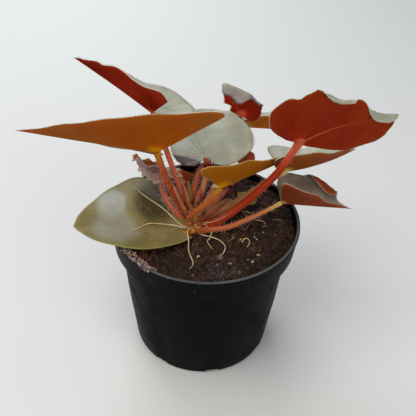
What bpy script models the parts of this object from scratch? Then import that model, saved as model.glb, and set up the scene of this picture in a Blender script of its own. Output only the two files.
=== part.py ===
"""Potted begonia: a nursery pot full of soil, a short rhizome, and its folded leaves on their stalks.

The origin is the middle of the pot's foot, +Z is up, +X is right and +Y is away from the viewer.
Sizes are written in millimetres and turned into metres where a mesh is made.
"""
import math
from dataclasses import dataclass

import bmesh
import bpy
from mathutils import Matrix, Vector, noise

MM = 0.001
GAP = 0.35            # clearance between pieces that touch
MERGE = 0.02          # points of a blade closer than this are one
FINE_MERGE = 0.01     # the same for a turned piece
SLIVER = 0.001        # edges shorter than this are closed after a cut
SMOOTH_ANGLE = 40.0   # faces that meet at less than this look smooth
PATH_POINTS = 8       # points between two knots of a stalk's or a root's curve
MARGIN_POINTS = 10    # points between two knots of a blade's margin

# Pot
RIM_RADIUS = 60.0
POT_HEIGHT = 98.0
FOOT_RADIUS = 46.0
COLLAR_HEIGHT = 17.0
COLLAR_FOOT_RADIUS = 57.7
COLLAR_ROUND = 0.6    # the rounding of the collar's lower edge
BODY_TOP_RADIUS = 53.6
BODY_MIDDLE_RADIUS = 50.4
POT_WALL = 1.4
LIP_HEIGHT = 2.6      # the rolled lip, its straight edge below the top, and its width
LIP_EDGE = 1.6
LIP_WIDTH = 1.4
LIP_ROUND = 0.7
LIP_STEP = 0.4        # how far the lip stands out from the collar
FOOT_ROUND = 1.6
POT_SIDES = 56
NOTCH_COUNT = 8
NOTCH_WIDTH = 9.0
NOTCH_HEIGHT = 2.6
NOTCH_REACH = 8.0     # how far a notch runs in under the foot
NOTCH_TURN = 0.25     # where the first notch lies, as a share of the step between two
NOTCH_CLEAR = 4.0     # how far the cutting block of a notch stands out in front of the foot

# Soil
SOIL_EDGE_Z = 93.2
SOIL_MOUND = 3.4
SOIL_SIDES = 36
SOIL_RINGS = 8
SOIL_LUMP = 0.7
SOIL_LUMP_WIDTH = 13.0
SOIL_LIP = 1.0        # how far the soil widens with the collar
SOIL_FOOT_CLEAR = 0.2  # extra clearance of the soil round the inside of the foot

# Rhizome, as an egg lying from front to back
CROWN_CENTRE = Vector((-7.0, -3.0, 97.0))
CROWN_HALF = Vector((7.5, 13.5, 5.6))
CROWN_KNOB = 0.7
CROWN_KNOBS_ACROSS = 2.3

# Blades
BLADE_THICKNESS = 0.8
TIP_CLAMP = 1.2       # the most thickness at a tip, as a share of the edges that meet there
EDGE_SWELL = 1.4      # how far the face of a swollen blade moves for each step of its square edge
VEIN_LEAN = 0.84      # how far a side vein runs towards the tip for each step out
MIDRIB_STEP = 8.0     # midrib length between two side veins, within a least and a most number of them
MIDRIB_ROWS_LEAST = 4
MIDRIB_ROWS_MOST = 9
FAN_STEP = 9.0        # margin length between two veins of the fan round the stalk
FAN_STEP_SHARE = 0.22  # the same on a small leaf, as a share of its midrib
COLUMNS = 4
ROLLED_COLUMNS = 7    # columns of a half whose margin is rolled
BEND_STEPS = 14
CURL_WIDTH = 30.0     # the width over which a half turns by its curl
ROLL_RUN_OUT = 6.0    # the length over which a roll opens out at its ends
WAVE_WIDTH = 14.0     # the width of a half from which its margin waves in full
WAVE_TURN = 1.7       # how far a margin wave turns from one row to the next, in radians

STALK_SIDES = 8
STALK_STEP = 6.0
ROOT_SIDES = 6
ROOT_STEP = 4.0


@dataclass(frozen=True)
class Roll:
    """A stretch of margin that is rolled over: it turns by some degrees between two shares of the way out."""
    start: float
    stop: float
    degrees: float
    along_from: float = -100.0
    along_to: float = 200.0


@dataclass(frozen=True)
class Half:
    """One half of a blade: its slope at the midrib, its curl, and its margin from the tip to the lobe."""
    tilt: float
    margin: tuple
    curl: float = 0.0
    rolls: tuple = ()


@dataclass(frozen=True)
class Leaf:
    """A blade's place, its midrib's length and sag, its two halves, and the stalk that carries it."""
    attach: tuple
    heading: float
    rise: float
    length: float
    left: Half
    right: Half
    sag: float = 0.0
    wave: float = 0.8
    stalk: tuple = ()
    stalk_radii: tuple = (2.0, 1.7)
    back: str = "amber_underside"


LEAVES = {
    "gold": Leaf(
        attach=(-30.5, 4.0, 142.0), heading=172.0, rise=3.0, length=86.0,
        left=Half(74.0, ((72, 5.5), (58, 11.5), (33, 21), (9, 30), (-9, 35), (-25, 40), (-36, 42), (-39, 40),
                         (-37, 37))),
        right=Half(-32.0, ((70, 7), (48, 17), (25, 25), (6, 27), (-6, 22), (-7, 14)), curl=-18.0),
        stalk=((-11.0, -4.5, 99.0), (-17.5, -1.0, 108.0), (-24.0, 2.0, 122.0), (-27.5, 3.0, 132.0)),
        stalk_radii=(2.2, 1.9)),
    "red_back": Leaf(
        attach=(-34.3, 16.0, 162.0), heading=145.0, rise=14.0, length=65.0,
        left=Half(65.0, ((52, 9), (38, 16), (27, 22), (8, 26), (-3, 28.5), (-11, 31), (-16, 27))),
        right=Half(0.0, ((50, 8), (36, 13), (22, 18), (10, 24), (1, 27), (-9, 26), (-15, 22), (-13, 14))),
        stalk=((-9.5, 2.0, 99.5), (-16.5, 4.5, 116.0), (-23.0, 6.5, 135.0), (-29.0, 11.0, 151.0)),
        stalk_radii=(1.8, 1.5), back="red_underside"),
    "silver": Leaf(
        attach=(-1.4, 27.2, 124.0), heading=63.0, rise=25.0, length=38.0,
        left=Half(-5.0, ((37, 10), (33, 19), (25, 29), (13, 33), (2, 29), (-5, 22), (-9, 12), (-8, 4)), curl=-14.0),
        right=Half(-5.0, ((36, 7), (34, 12), (30, 18), (24, 22), (17, 23.5), (8, 20), (0, 13), (-2, 6)), curl=-8.0),
        stalk=((-5.0, 1.5, 100.0), (-4.0, 8.0, 106.5), (-1.5, 16.5, 113.5), (-1.0, 23.0, 119.0)),
        stalk_radii=(1.8, 1.5)),
    "far": Leaf(
        attach=(25.6, 77.0, 118.0), heading=-13.0, rise=7.0, length=46.0,
        left=Half(25.0, ((40, 6), (26, 11), (17, 14), (8, 13.5), (-10, 13), (-25, 14), (-40, 12.5), (-44, 9),
                         (-40, 5))),
        right=Half(65.0, ((40, 2), (31, 4.5), (23, 9), (19, 13), (12, 13.5), (3, 11), (-3, 6))),
        stalk=((-2.8, 5.5, 99.5), (4.0, 17.0, 106.5), (12.0, 38.0, 111.0), (20.0, 61.0, 115.0)),
        stalk_radii=(1.8, 1.6)),
    "young_top": Leaf(
        attach=(20.6, 62.5, 136.8), heading=-168.0, rise=59.0, length=27.0,
        left=Half(80.0, ((24, 11.5), (18, 20), (8, 20), (-1, 19), (-8, 15), (-11, 9), (-11, 4)),
                  rolls=(Roll(0.42, 0.85, -150.0, 0.0, 30.0),)),
        right=Half(-80.0, ((22, 3), (19, 3.5), (11, 6.5), (7, 4.5), (2, 6.5), (-2, 4))),
        wave=0.6,
        stalk=((-6.5, 7.0, 99.5), (-8.0, 11.0, 109.0), (-5.0, 24.0, 116.0), (1.0, 36.0, 117.5),
               (12.0, 52.0, 121.0), (19.5, 61.0, 128.0)),
        stalk_radii=(1.8, 1.3), back="red_underside"),
    "red_right": Leaf(
        attach=(53.6, 9.0, 150.0), heading=12.0, rise=13.0, length=58.5,
        left=Half(-75.0, ((57, 4), (55, 9), (51, 12.5), (44, 17), (32, 18), (19, 13), (4, 4.5))),
        right=Half(75.0, ((59, 4), (56, 8), (51.5, 12), (46, 14), (42, 19), (38.5, 27), (27, 36), (17, 41), (12, 39),
                          (5, 39), (1, 37.5), (-5, 40), (-13, 34), (-16, 29), (-16, 19), (-8, 6)),
                   rolls=(Roll(0.82, 0.96, -160.0, 14.0, 44.0), Roll(0.3, 0.85, -150.0, 46.0, 59.0))),
        stalk=((-3.0, -9.5, 98.5), (7.0, -10.5, 102.5), (22.0, -5.5, 113.0), (39.0, -1.0, 130.5),
               (46.5, 0.5, 142.8)),
        stalk_radii=(2.5, 2.2), back="red_underside"),
    "amber_right": Leaf(
        attach=(49.0, 15.0, 124.8), heading=14.0, rise=15.0, length=46.4,
        left=Half(0.0, ((38, 9), (27, 17), (14, 22), (4, 27), (-2, 29), (-4, 26), (-3, 15))),
        right=Half(65.0, ((40, 4.5), (34, 8), (21, 14.5), (8, 20), (-3, 21), (-7, 17), (-7, 10))), sag=2.6,
        stalk=((-1.5, -4.5, 99.0), (10.0, -1.0, 104.0), (24.0, 4.5, 112.0), (39.0, 12.0, 119.5)),
        stalk_radii=(1.9, 1.6)),
    "low_right": Leaf(
        attach=(46.3, -0.9, 112.0), heading=3.0, rise=-5.0, length=44.6,
        left=Half(20.0, ((40, 3.5), (37, 9), (35.5, 17), (30, 26), (22, 26), (11, 19.5), (3, 19), (-1, 16)),
                  rolls=(Roll(0.45, 0.8, 110.0, 17.0, 40.0),)),
        right=Half(60.0, ((37, 3.5), (27, 8.5), (17, 16), (6, 24), (-3, 28), (-5, 24))),
        stalk=((-5.0, -13.5, 97.5), (12.0, -13.0, 100.0), (24.0, -10.0, 104.0), (37.0, -5.0, 108.5)),
        stalk_radii=(2.3, 2.0)),
    "mustard": Leaf(
        attach=(8.6, -4.2, 124.0), heading=23.0, rise=15.0, length=47.9,
        left=Half(-30.0, ((40, 8), (26, 15), (12, 18), (2, 17), (-4, 11))),
        right=Half(70.0, ((43, 3.5), (36, 7), (16, 17.5), (-2, 26), (-10, 29), (-13, 28), (-12, 24))),
        stalk=((-7.5, -10.5, 99.0), (-4.5, -7.5, 107.5), (2.5, -5.0, 117.0)),
        stalk_radii=(1.9, 1.5)),
    "low_left": Leaf(
        attach=(-12.5, -19.5, 100.0), heading=-178.0, rise=3.0, length=67.0,
        left=Half(0.0, ((62, 5), (51, 13), (40, 17), (24, 18.5), (14, 16), (3, 10), (-5, 3))),
        right=Half(0.0, ((65, 9), (60, 20), (50, 36), (38, 50), (30, 53), (24, 47), (12, 25))),
        wave=0.3, stalk=((-7.0, -9.0, 97.0), (-9.5, -15.5, 97.4)), stalk_radii=(1.6, 1.4)),
    "crumpled": Leaf(
        attach=(-29.6, 18.0, 117.0), heading=142.0, rise=-2.0, length=24.0,
        left=Half(-30.0, ((21, 1.5), (15, 6.5), (9, 9.5), (1, 9), (-3, 4))),
        right=Half(35.0, ((22, 4), (17, 7.5), (10, 9.5), (4, 8), (-1, 5)), rolls=(Roll(0.3, 0.8, 125.0, -100.0, 24.0),)),
        wave=1.0,
        stalk=((-12.0, -8.0, 98.5), (-20.0, -4.5, 105.5), (-25.0, 1.0, 109.5), (-28.5, 10.0, 112.0)),
        stalk_radii=(1.6, 1.3)),
    "brown_young": Leaf(
        attach=(-16.2, 12.0, 115.0), heading=-95.0, rise=80.0, length=11.0,
        left=Half(-8.0, ((9.5, 4), (5, 6.5), (0, 6), (-2, 4))),
        right=Half(-8.0, ((9.5, 4), (5, 6.5), (0, 6), (-2, 4))),
        wave=0.4, stalk=((-9.5, 1.0, 99.5), (-12.5, 6.0, 104.5), (-15.2, 10.5, 110.5)),
        stalk_radii=(1.3, 1.0)),
    "olive_young": Leaf(
        attach=(20.6, 12.0, 100.0), heading=67.0, rise=13.0, length=15.0,
        left=Half(8.0, ((13, 4), (8, 6.5), (2, 6), (-2, 3))),
        right=Half(8.0, ((13, 4), (8, 6), (2, 5), (-2, 3))),
        wave=0.3, stalk=((-2.0, 3.0, 98.2), (9.0, 8.0, 98.7)), stalk_radii=(1.3, 1.1)),
    "bud": Leaf(
        attach=(13.0, 13.5, 110.0), heading=-45.0, rise=-40.0, length=11.0,
        left=Half(55.0, ((9, 2), (5, 4.5), (0, 4), (-2, 2.5))),
        right=Half(55.0, ((9, 2), (5, 4.5), (0, 4), (-2, 2.5))),
        wave=0.3, stalk=((-3.5, -2.0, 99.5), (5.0, 3.5, 104.5)), stalk_radii=(1.6, 1.4),
        back="red_underside"),
}

# Aerial roots, each a path over the leaf or the soil, with its radius at the crown and at its end
ROOT_RADII = (0.6, 0.4)
ROOTS = {
    "root_upper_left": ((-10.0, -9.0, 100.0), (-14.0, -12.0, 102.4), (-32.0, 5.0, 102.7), (-48.0, 19.0, 103.8)),
    "root_lower_left": ((-9.0, -11.0, 100.0), (-13.0, -18.5, 102.2), (-21.0, -18.0, 102.2), (-37.0, -17.0, 103.0),
                        (-47.0, -26.0, 103.8)),
    "root_front": ((-8.5, -12.0, 99.0), (-10.5, -20.0, 101.8), (-9.5, -27.0, 100.4), (-9.0, -33.0, 97.5),
                   (-6.0, -42.0, 96.6), (-8.0, -47.0, 96.4)),
    "root_front_right": ((-7.0, -12.0, 96.5), (-4.0, -19.0, 97.2), (7.0, -22.5, 97.4), (12.0, -27.0, 97.2),
                         (10.0, -37.0, 96.8)),
}


def in_metres(point):
    """The same point in metres."""
    return Vector(point) * MM


def smooth_through(points, per_span):
    """Points along a Catmull-Rom curve through the given ones, with the ends kept."""
    knots = [Vector(p) for p in points]
    knots = [knots[0] * 2 - knots[1]] + knots + [knots[-1] * 2 - knots[-2]]
    path = []
    for a, b, c, d in zip(knots, knots[1:], knots[2:], knots[3:]):
        for step in range(per_span):
            t = step / per_span
            path.append(0.5 * (2 * b + (c - a) * t + (2 * a - 5 * b + 4 * c - d) * t * t
                               + (3 * b - 3 * c + d - a) * t ** 3))
    path.append(knots[-2].copy())
    return path


def length_of(path):
    """The length of a line through the points."""
    return sum((b - a).length for a, b in zip(path, path[1:]))


def point_at(path, share):
    """The point that lies the given share of the way along a line."""
    left = share * length_of(path)
    for a, b in zip(path, path[1:]):
        step = (b - a).length
        if left <= step and step > 0:
            return a.lerp(b, left / step)
        left -= step
    return path[-1].copy()


def smoothstep(value):
    """0 below 0, 1 above 1, and a soft ramp between them."""
    value = min(max(value, 0.0), 1.0)
    return value * value * (3 - 2 * value)


class Blade:
    """The curved surface of one leaf, read by its row from the tip round to the lobe and its column outwards."""

    def __init__(self, leaf):
        self.leaf = leaf
        heading, rise = math.radians(leaf.heading), math.radians(leaf.rise)
        self.origin = Vector(leaf.attach)
        self.along = Vector((math.cos(rise) * math.cos(heading), math.cos(rise) * math.sin(heading), math.sin(rise)))
        self.across = Vector((-math.sin(heading), math.cos(heading), 0.0))
        self.up = self.along.cross(self.across)

    def half(self, side):
        """The half on the left (side 1) or on the right (side -1)."""
        return self.leaf.left if side > 0 else self.leaf.right

    def rows(self, side):
        """Pairs of a midrib point and the margin point that its vein runs to, from the tip to the lobe."""
        tip = Vector((self.leaf.length, 0.0))
        margin = smooth_through([tip] + [Vector(p) for p in self.half(side).margin], MARGIN_POINTS)
        roots = [p.x - VEIN_LEAN * p.y for p in margin]
        turn = next((i for i, root in enumerate(roots) if root <= 0), len(margin) - 1)
        rows = [(tip, tip)]
        midrib_rows = min(max(round(self.leaf.length / MIDRIB_STEP), MIDRIB_ROWS_LEAST), MIDRIB_ROWS_MOST)
        for step in range(1, midrib_rows + 1):
            station = self.leaf.length * (1 - step / midrib_rows)
            rows.append((Vector((station, 0.0)), vein_end(margin, roots, station, turn)))
        fan = [rows[-1][1]] + margin[turn:]
        fan_step = min(FAN_STEP, FAN_STEP_SHARE * self.leaf.length)
        steps = round(length_of(fan) / fan_step) if turn < len(margin) - 1 else 0
        rows += [(Vector((0.0, 0.0)), point_at(fan, (step + 1) / steps)) for step in range(steps)]
        return rows

    def slope(self, side, end, share):
        """How far the half has turned up from level, in radians, a share of the way out to a margin point."""
        half = self.half(side)
        degrees = half.tilt + half.curl * end.y * share / CURL_WIDTH
        for roll in half.rolls:
            inside = (smoothstep((end.x - roll.along_from) / ROLL_RUN_OUT)
                      * smoothstep((roll.along_to - end.x) / ROLL_RUN_OUT))
            degrees += roll.degrees * inside * smoothstep((share - roll.start) / (roll.stop - roll.start))
        return math.radians(degrees)

    def point(self, side, row, share, phase):
        """The surface point a share of the way out along a row, with the waves of the margin."""
        root, end = row
        along = root.lerp(end, share).x
        step = end.y * share / BEND_STEPS
        level = height = 0.0
        for index in range(BEND_STEPS):
            angle = self.slope(side, end, share * (index + 0.5) / BEND_STEPS)
            level += math.cos(angle) * step
            height += math.sin(angle) * step
        angle = self.slope(side, end, share)
        lift = self.leaf.wave * min(end.y / WAVE_WIDTH, 1.0) * share ** 2 * math.sin(phase)
        level -= math.sin(angle) * lift
        height += math.cos(angle) * lift
        reach = min(max(along / self.leaf.length, 0.0), 1.0)
        height -= 4 * self.leaf.sag * reach * (1 - reach)
        return self.origin + self.along * along + self.up * height + self.across * (side * level)


def vein_end(margin, roots, station, turn):
    """Where the vein that leaves the midrib at a station meets the margin."""
    for index in range(turn):
        if roots[index] >= station >= roots[index + 1]:
            span = roots[index] - roots[index + 1]
            share = (roots[index] - station) / span if span > 1e-9 else 0.0
            return margin[index].lerp(margin[index + 1], share)
    return margin[turn].copy()


def new_object(name, bm, material):
    """An object with the bmesh as its mesh, smooth where its faces meet gently."""
    mesh = bpy.data.meshes.new(name)
    bm.to_mesh(mesh)
    bm.free()
    mesh.shade_smooth()
    mesh.set_sharp_from_angle(angle=math.radians(SMOOTH_ANGLE))
    mesh.materials.append(material)
    obj = bpy.data.objects.new(name, mesh)
    bpy.context.scene.collection.objects.link(obj)
    return obj


def finish(name, colour, roughness, metallic=0.0):
    """A Principled material."""
    material = bpy.data.materials.new(name)
    material.use_nodes = True
    shader = material.node_tree.nodes["Principled BSDF"]
    shader.inputs["Base Color"].default_value = (*colour, 1.0)
    shader.inputs["Roughness"].default_value = roughness
    shader.inputs["Metallic"].default_value = metallic
    material.diffuse_color = (*colour, 1.0)
    return material


def solid_blade(name, leaf, material, extra=0.0):
    """A blade: each half a grid laid over its rows, joined at the midrib, with its thickness and any extra."""
    blade = Blade(leaf)
    bm = bmesh.new()
    for side in (1, -1):
        rows = blade.rows(side)
        columns = ROLLED_COLUMNS if blade.half(side).rolls else COLUMNS
        grid = bmesh.ops.create_grid(bm, x_segments=len(rows) - 1, y_segments=columns, size=1.0)
        for vert in grid["verts"]:
            row = round((vert.co.x + 1) / 2 * (len(rows) - 1))
            share = (vert.co.y + 1) / 2
            vert.co = in_metres(blade.point(side, rows[row], share, side + row * WAVE_TURN))
        if side < 0:
            bmesh.ops.reverse_faces(bm, faces=list({f for v in grid["verts"] for f in v.link_faces}))
    bmesh.ops.remove_doubles(bm, verts=bm.verts, dist=MERGE * MM)
    bmesh.ops.dissolve_degenerate(bm, edges=bm.edges, dist=MERGE * MM)
    bmesh.ops.triangulate(bm, faces=bm.faces)
    obj = new_object(name, bm, material)
    solid = obj.modifiers.new("thickness", "SOLIDIFY")
    solid.thickness = BLADE_THICKNESS * MM
    solid.offset = 0.0
    solid.thickness_clamp = TIP_CLAMP
    if extra:
        swell = obj.modifiers.new("extra", "DISPLACE")
        swell.mid_level = 0.0
        swell.strength = extra * EDGE_SWELL * MM
    return obj


def sweep(path, radii, sides, extra=0.0):
    """A bmesh of a round stalk along a path, tapering from the first radius to the second, with closed ends."""
    bm = bmesh.new()
    directions = [(after - before).normalized()
                  for before, after in zip([path[0]] + path[:-1], path[1:] + [path[-1]])]
    turn = Vector((0, 0, 1)).rotation_difference(directions[0])
    frames = []
    for index, (point, direction) in enumerate(zip(path, directions)):
        if index:
            turn = directions[index - 1].rotation_difference(direction) @ turn
        radius = (radii[0] + (radii[1] - radii[0]) * index / (len(path) - 1) + extra) * MM
        frames.append(Matrix.LocRotScale(in_metres(point), turn, Vector((radius, radius, radius))))
    ring = bmesh.ops.create_circle(bm, cap_ends=False, segments=sides, radius=1.0)["verts"]
    bmesh.ops.transform(bm, matrix=frames[0], verts=ring)
    end = bm.edges[:]
    for last, frame in zip(frames, frames[1:]):
        grown = bmesh.ops.extrude_edge_only(bm, edges=end)["geom"]
        end = [item for item in grown if isinstance(item, bmesh.types.BMEdge)]
        verts = [item for item in grown if isinstance(item, bmesh.types.BMVert)]
        bmesh.ops.transform(bm, matrix=frame @ last.inverted(), verts=verts)
    bmesh.ops.holes_fill(bm, edges=bm.edges, sides=0)
    bmesh.ops.recalc_face_normals(bm, faces=bm.faces)
    return bm


def turned(profile, sides):
    """A bmesh of a closed profile of (radius, height) points, in millimetres, turned about the upright axis."""
    bm = bmesh.new()
    verts = [bm.verts.new(in_metres((radius, 0.0, height))) for radius, height in profile]
    edges = [bm.edges.new(pair) for pair in zip(verts, verts[1:] + verts[:1])]
    bmesh.ops.spin(bm, geom=verts + edges, cent=(0, 0, 0), axis=(0, 0, 1), angle=math.tau, steps=sides,
                   use_merge=True)
    bmesh.ops.remove_doubles(bm, verts=bm.verts, dist=FINE_MERGE * MM)
    bmesh.ops.dissolve_degenerate(bm, edges=bm.edges, dist=FINE_MERGE * MM)
    bmesh.ops.recalc_face_normals(bm, faces=bm.faces)
    return bm


def solid_pot(material):
    """The pot: a turned shell with a rolled lip over a deep collar, and drain notches round its foot."""
    collar_z = POT_HEIGHT - COLLAR_HEIGHT
    floor_z = FOOT_ROUND + POT_WALL
    profile = [(0.0, 0.0), (FOOT_RADIUS - FOOT_ROUND, 0.0), (FOOT_RADIUS, FOOT_ROUND),
               (BODY_MIDDLE_RADIUS, collar_z / 2), (BODY_TOP_RADIUS, collar_z),
               (COLLAR_FOOT_RADIUS, collar_z), (COLLAR_FOOT_RADIUS + LIP_STEP, collar_z + COLLAR_ROUND),
               (RIM_RADIUS - LIP_STEP, POT_HEIGHT - LIP_HEIGHT), (RIM_RADIUS, POT_HEIGHT - LIP_EDGE),
               (RIM_RADIUS - LIP_ROUND, POT_HEIGHT), (RIM_RADIUS - LIP_ROUND - LIP_WIDTH, POT_HEIGHT),
               (RIM_RADIUS - LIP_ROUND - LIP_WIDTH - LIP_STEP, POT_HEIGHT - LIP_EDGE),
               (COLLAR_FOOT_RADIUS - POT_WALL, collar_z + POT_WALL),
               (BODY_TOP_RADIUS - POT_WALL, collar_z + POT_WALL - GAP),
               (BODY_MIDDLE_RADIUS - POT_WALL, collar_z / 2), (FOOT_RADIUS - POT_WALL, floor_z), (0.0, floor_z)]
    pot = new_object("pot", turned(profile, POT_SIDES), material)
    bm = bmesh.new()
    for index in range(NOTCH_COUNT):
        turn = Matrix.Rotation(math.tau * (index + NOTCH_TURN) / NOTCH_COUNT, 4, "Z")
        middle = Matrix.Translation(in_metres((FOOT_RADIUS + (NOTCH_CLEAR - NOTCH_REACH) / 2, 0.0, 0.0)))
        size = Matrix.Diagonal(in_metres((NOTCH_REACH + NOTCH_CLEAR, NOTCH_WIDTH, 2 * NOTCH_HEIGHT))).to_4x4()
        bmesh.ops.create_cube(bm, size=1.0, matrix=turn @ middle @ size)
    carve(pot, [new_object("notches", bm, material)])
    return pot


def soil_height(x, y):
    """The height of the soil's top, a low mound with small lumps, in millimetres."""
    share = math.hypot(x, y) / RIM_RADIUS
    lump = noise.noise(Vector((x, y, 0.0)) / SOIL_LUMP_WIDTH)
    return SOIL_EDGE_Z + SOIL_MOUND * (1 - share ** 2) + SOIL_LUMP * lump


def solid_soil(material):
    """The root ball: it fills the pot with a small clearance, and the rhizome sits in a hollow of its top."""
    collar_z = POT_HEIGHT - COLLAR_HEIGHT
    clear = POT_WALL + GAP
    top_radius = COLLAR_FOOT_RADIUS - clear + SOIL_LIP
    floor_z = FOOT_ROUND + clear + SOIL_FOOT_CLEAR
    side = [(COLLAR_FOOT_RADIUS - clear, collar_z + clear), (BODY_TOP_RADIUS - clear, collar_z + POT_WALL),
            (BODY_MIDDLE_RADIUS - clear, collar_z / 2), (FOOT_RADIUS - clear - SOIL_FOOT_CLEAR, floor_z),
            (0.0, floor_z)]
    top = [(top_radius * step / SOIL_RINGS, SOIL_EDGE_Z) for step in range(SOIL_RINGS + 1)]
    bm = turned(top + side, SOIL_SIDES)
    for vert in bm.verts:
        if vert.co.z > (SOIL_EDGE_Z - GAP) * MM:
            vert.co.z = soil_height(vert.co.x / MM, vert.co.y / MM) * MM
    soil = new_object("soil", bm, material)
    cutters = [solid_crown("hollow", material, GAP)]
    for leaf in LEAVES.values():
        if reaches_soil(stalk_path(leaf), leaf.stalk_radii):
            cutters.append(new_object("hole", sweep(stalk_path(leaf), leaf.stalk_radii, STALK_SIDES, GAP), material))
    for points in ROOTS.values():
        if reaches_soil(even_path(points, ROOT_STEP), ROOT_RADII):
            cutters.append(new_object("hole", sweep(even_path(points, ROOT_STEP), ROOT_RADII, ROOT_SIDES, GAP),
                                      material))
    carve(soil, cutters)
    return soil


def reaches_soil(path, radii):
    """Whether a stalk or a root comes down to the top of the soil."""
    return any(point.z - radii[0] - GAP < soil_height(point.x, point.y) for point in path)


def solid_crown(name, material, extra=0.0):
    """The rhizome: an egg with knobs where old leaves grew, larger all round by an extra distance."""
    bm = bmesh.new()
    bmesh.ops.create_icosphere(bm, subdivisions=3, radius=1.0)
    for vert in bm.verts:
        outward = vert.co.normalized()
        knob = CROWN_KNOB * noise.noise(outward * CROWN_KNOBS_ACROSS) + extra
        vert.co = in_metres(CROWN_CENTRE + Vector(o * h for o, h in zip(outward, CROWN_HALF)) + outward * knob)
    return new_object(name, bm, material)


def carve(obj, cutters, solver="EXACT"):
    """Take the cutters out of the object, and keep the largest piece that is left."""
    for cutter in cutters:
        cut = obj.modifiers.new("cut", "BOOLEAN")
        cut.solver = solver
        cut.operation = "DIFFERENCE"
        cut.object = cutter
    bpy.context.view_layer.update()
    depsgraph = bpy.context.evaluated_depsgraph_get()
    mesh = bpy.data.meshes.new_from_object(obj.evaluated_get(depsgraph))
    obj.modifiers.clear()
    obj.data = mesh
    bm = bmesh.new()
    bm.from_mesh(mesh)
    bmesh.ops.triangulate(bm, faces=bm.faces)
    bmesh.ops.dissolve_degenerate(bm, edges=bm.edges, dist=SLIVER * MM)
    islands = loose_parts(bm)
    largest = max(islands, key=lambda verts: sum(f.calc_area() for f in {f for v in verts for f in v.link_faces}))
    spare = [vert for island in islands if island is not largest for vert in island]
    bmesh.ops.delete(bm, geom=spare, context="VERTS")
    bm.to_mesh(mesh)
    bm.free()
    for cutter in cutters:
        bpy.data.objects.remove(cutter)


def loose_parts(bm):
    """The vertices of the mesh, in one list for each connected part."""
    left = set(bm.verts)
    parts = []
    while left:
        part = []
        waiting = [left.pop()]
        while waiting:
            vert = waiting.pop()
            part.append(vert)
            for edge in vert.link_edges:
                other = edge.other_vert(vert)
                if other in left:
                    left.remove(other)
                    waiting.append(other)
        parts.append(part)
    return parts


def even_path(points, step):
    """Points a step apart along a smooth curve through the given ones."""
    path = smooth_through(points, PATH_POINTS)
    count = max(2, int(round(length_of(path) / step)))
    return [point_at(path, index / count) for index in range(count + 1)]


def stalk_path(leaf):
    """The line from the rhizome to the foot of the blade."""
    return even_path(list(leaf.stalk) + [leaf.attach], STALK_STEP)


def solid_stalks(material):
    """The stalks, each cut where it would meet the rhizome, its own blade or a stalk built before it."""
    built = []
    for name, leaf in LEAVES.items():
        path = stalk_path(leaf)
        stalk = new_object("stalk_" + name, sweep(path, leaf.stalk_radii, STALK_SIDES), material)
        cutters = [solid_crown("cut_crown", material, GAP),
                   solid_blade("cut_blade", leaf, material, GAP)]
        for other_path, other_radii in built:
            if paths_meet(path, other_path, leaf.stalk_radii[0] + other_radii[0] + GAP):
                cutters.append(new_object("cut_stalk", sweep(other_path, other_radii, STALK_SIDES, GAP), material))
        carve(stalk, cutters, solver="MANIFOLD")
        built.append((path, leaf.stalk_radii))


def paths_meet(one, other, distance):
    """Whether two lines of points come within a distance of each other."""
    return any((a - b).length < distance + STALK_STEP / 2 for a in one for b in other)


def solid_roots(material):
    """The aerial roots, cut where they would meet the rhizome."""
    for name, points in ROOTS.items():
        root = new_object(name, sweep(even_path(points, ROOT_STEP), ROOT_RADII, ROOT_SIDES), material)
        carve(root, [solid_crown("cut_crown", material, GAP)])


def main():
    """Build every piece."""
    for obj in list(bpy.data.objects):
        bpy.data.objects.remove(obj)
    solid_pot(finish("pot_plastic", (0.02, 0.02, 0.022), 0.5))
    solid_soil(finish("soil", (0.05, 0.03, 0.02), 0.95))
    solid_crown("crown", finish("crown_skin", (0.45, 0.25, 0.08), 0.5))
    stalk_skin = finish("stalk_skin", (0.62, 0.16, 0.06), 0.4)
    undersides = {"amber_underside": finish("amber_underside", (0.62, 0.27, 0.06), 0.45),
                  "red_underside": finish("red_underside", (0.5, 0.07, 0.03), 0.45)}
    for name, leaf in LEAVES.items():
        solid_blade("leaf_" + name, leaf, undersides[leaf.back])
    solid_stalks(stalk_skin)
    solid_roots(finish("root_skin", (0.75, 0.66, 0.48), 0.6))


if __name__ == "__main__":
    main()
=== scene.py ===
"""The dressed potted begonia: finer leaves, stalks, rhizome, roots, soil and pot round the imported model.

Lengths are written in millimetres and turned into metres where a mesh is made. The origin is the middle of the
pot's foot, +Z is up, +X is right and +Y is away from the viewer.
"""

import logging
import math
from dataclasses import dataclass, field
from enum import Enum
from functools import lru_cache
from random import Random
from typing import Any, Callable, Iterable, Sequence

import bmesh
import bpy
from bmesh.types import BMEdge, BMesh, BMVert
from bpy.types import Material, Modifier, Node, NodeSocket, NodeTree, Object
from mathutils import Matrix, Vector, noise


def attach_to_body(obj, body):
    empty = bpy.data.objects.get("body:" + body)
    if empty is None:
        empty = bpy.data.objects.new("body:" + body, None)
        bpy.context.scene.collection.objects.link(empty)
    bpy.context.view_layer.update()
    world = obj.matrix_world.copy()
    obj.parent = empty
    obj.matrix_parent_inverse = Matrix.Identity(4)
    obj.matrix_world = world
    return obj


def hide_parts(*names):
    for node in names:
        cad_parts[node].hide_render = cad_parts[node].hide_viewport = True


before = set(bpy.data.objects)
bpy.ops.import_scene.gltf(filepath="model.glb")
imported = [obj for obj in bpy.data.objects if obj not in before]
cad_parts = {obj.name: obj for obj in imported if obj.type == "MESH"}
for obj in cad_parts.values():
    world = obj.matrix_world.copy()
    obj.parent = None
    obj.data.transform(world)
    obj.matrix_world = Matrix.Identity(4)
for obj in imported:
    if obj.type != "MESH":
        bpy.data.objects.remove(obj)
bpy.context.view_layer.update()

LOG = logging.getLogger("potted_begonia")
MM = 0.001
UP = Vector((0.0, 0.0, 1.0))

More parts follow.
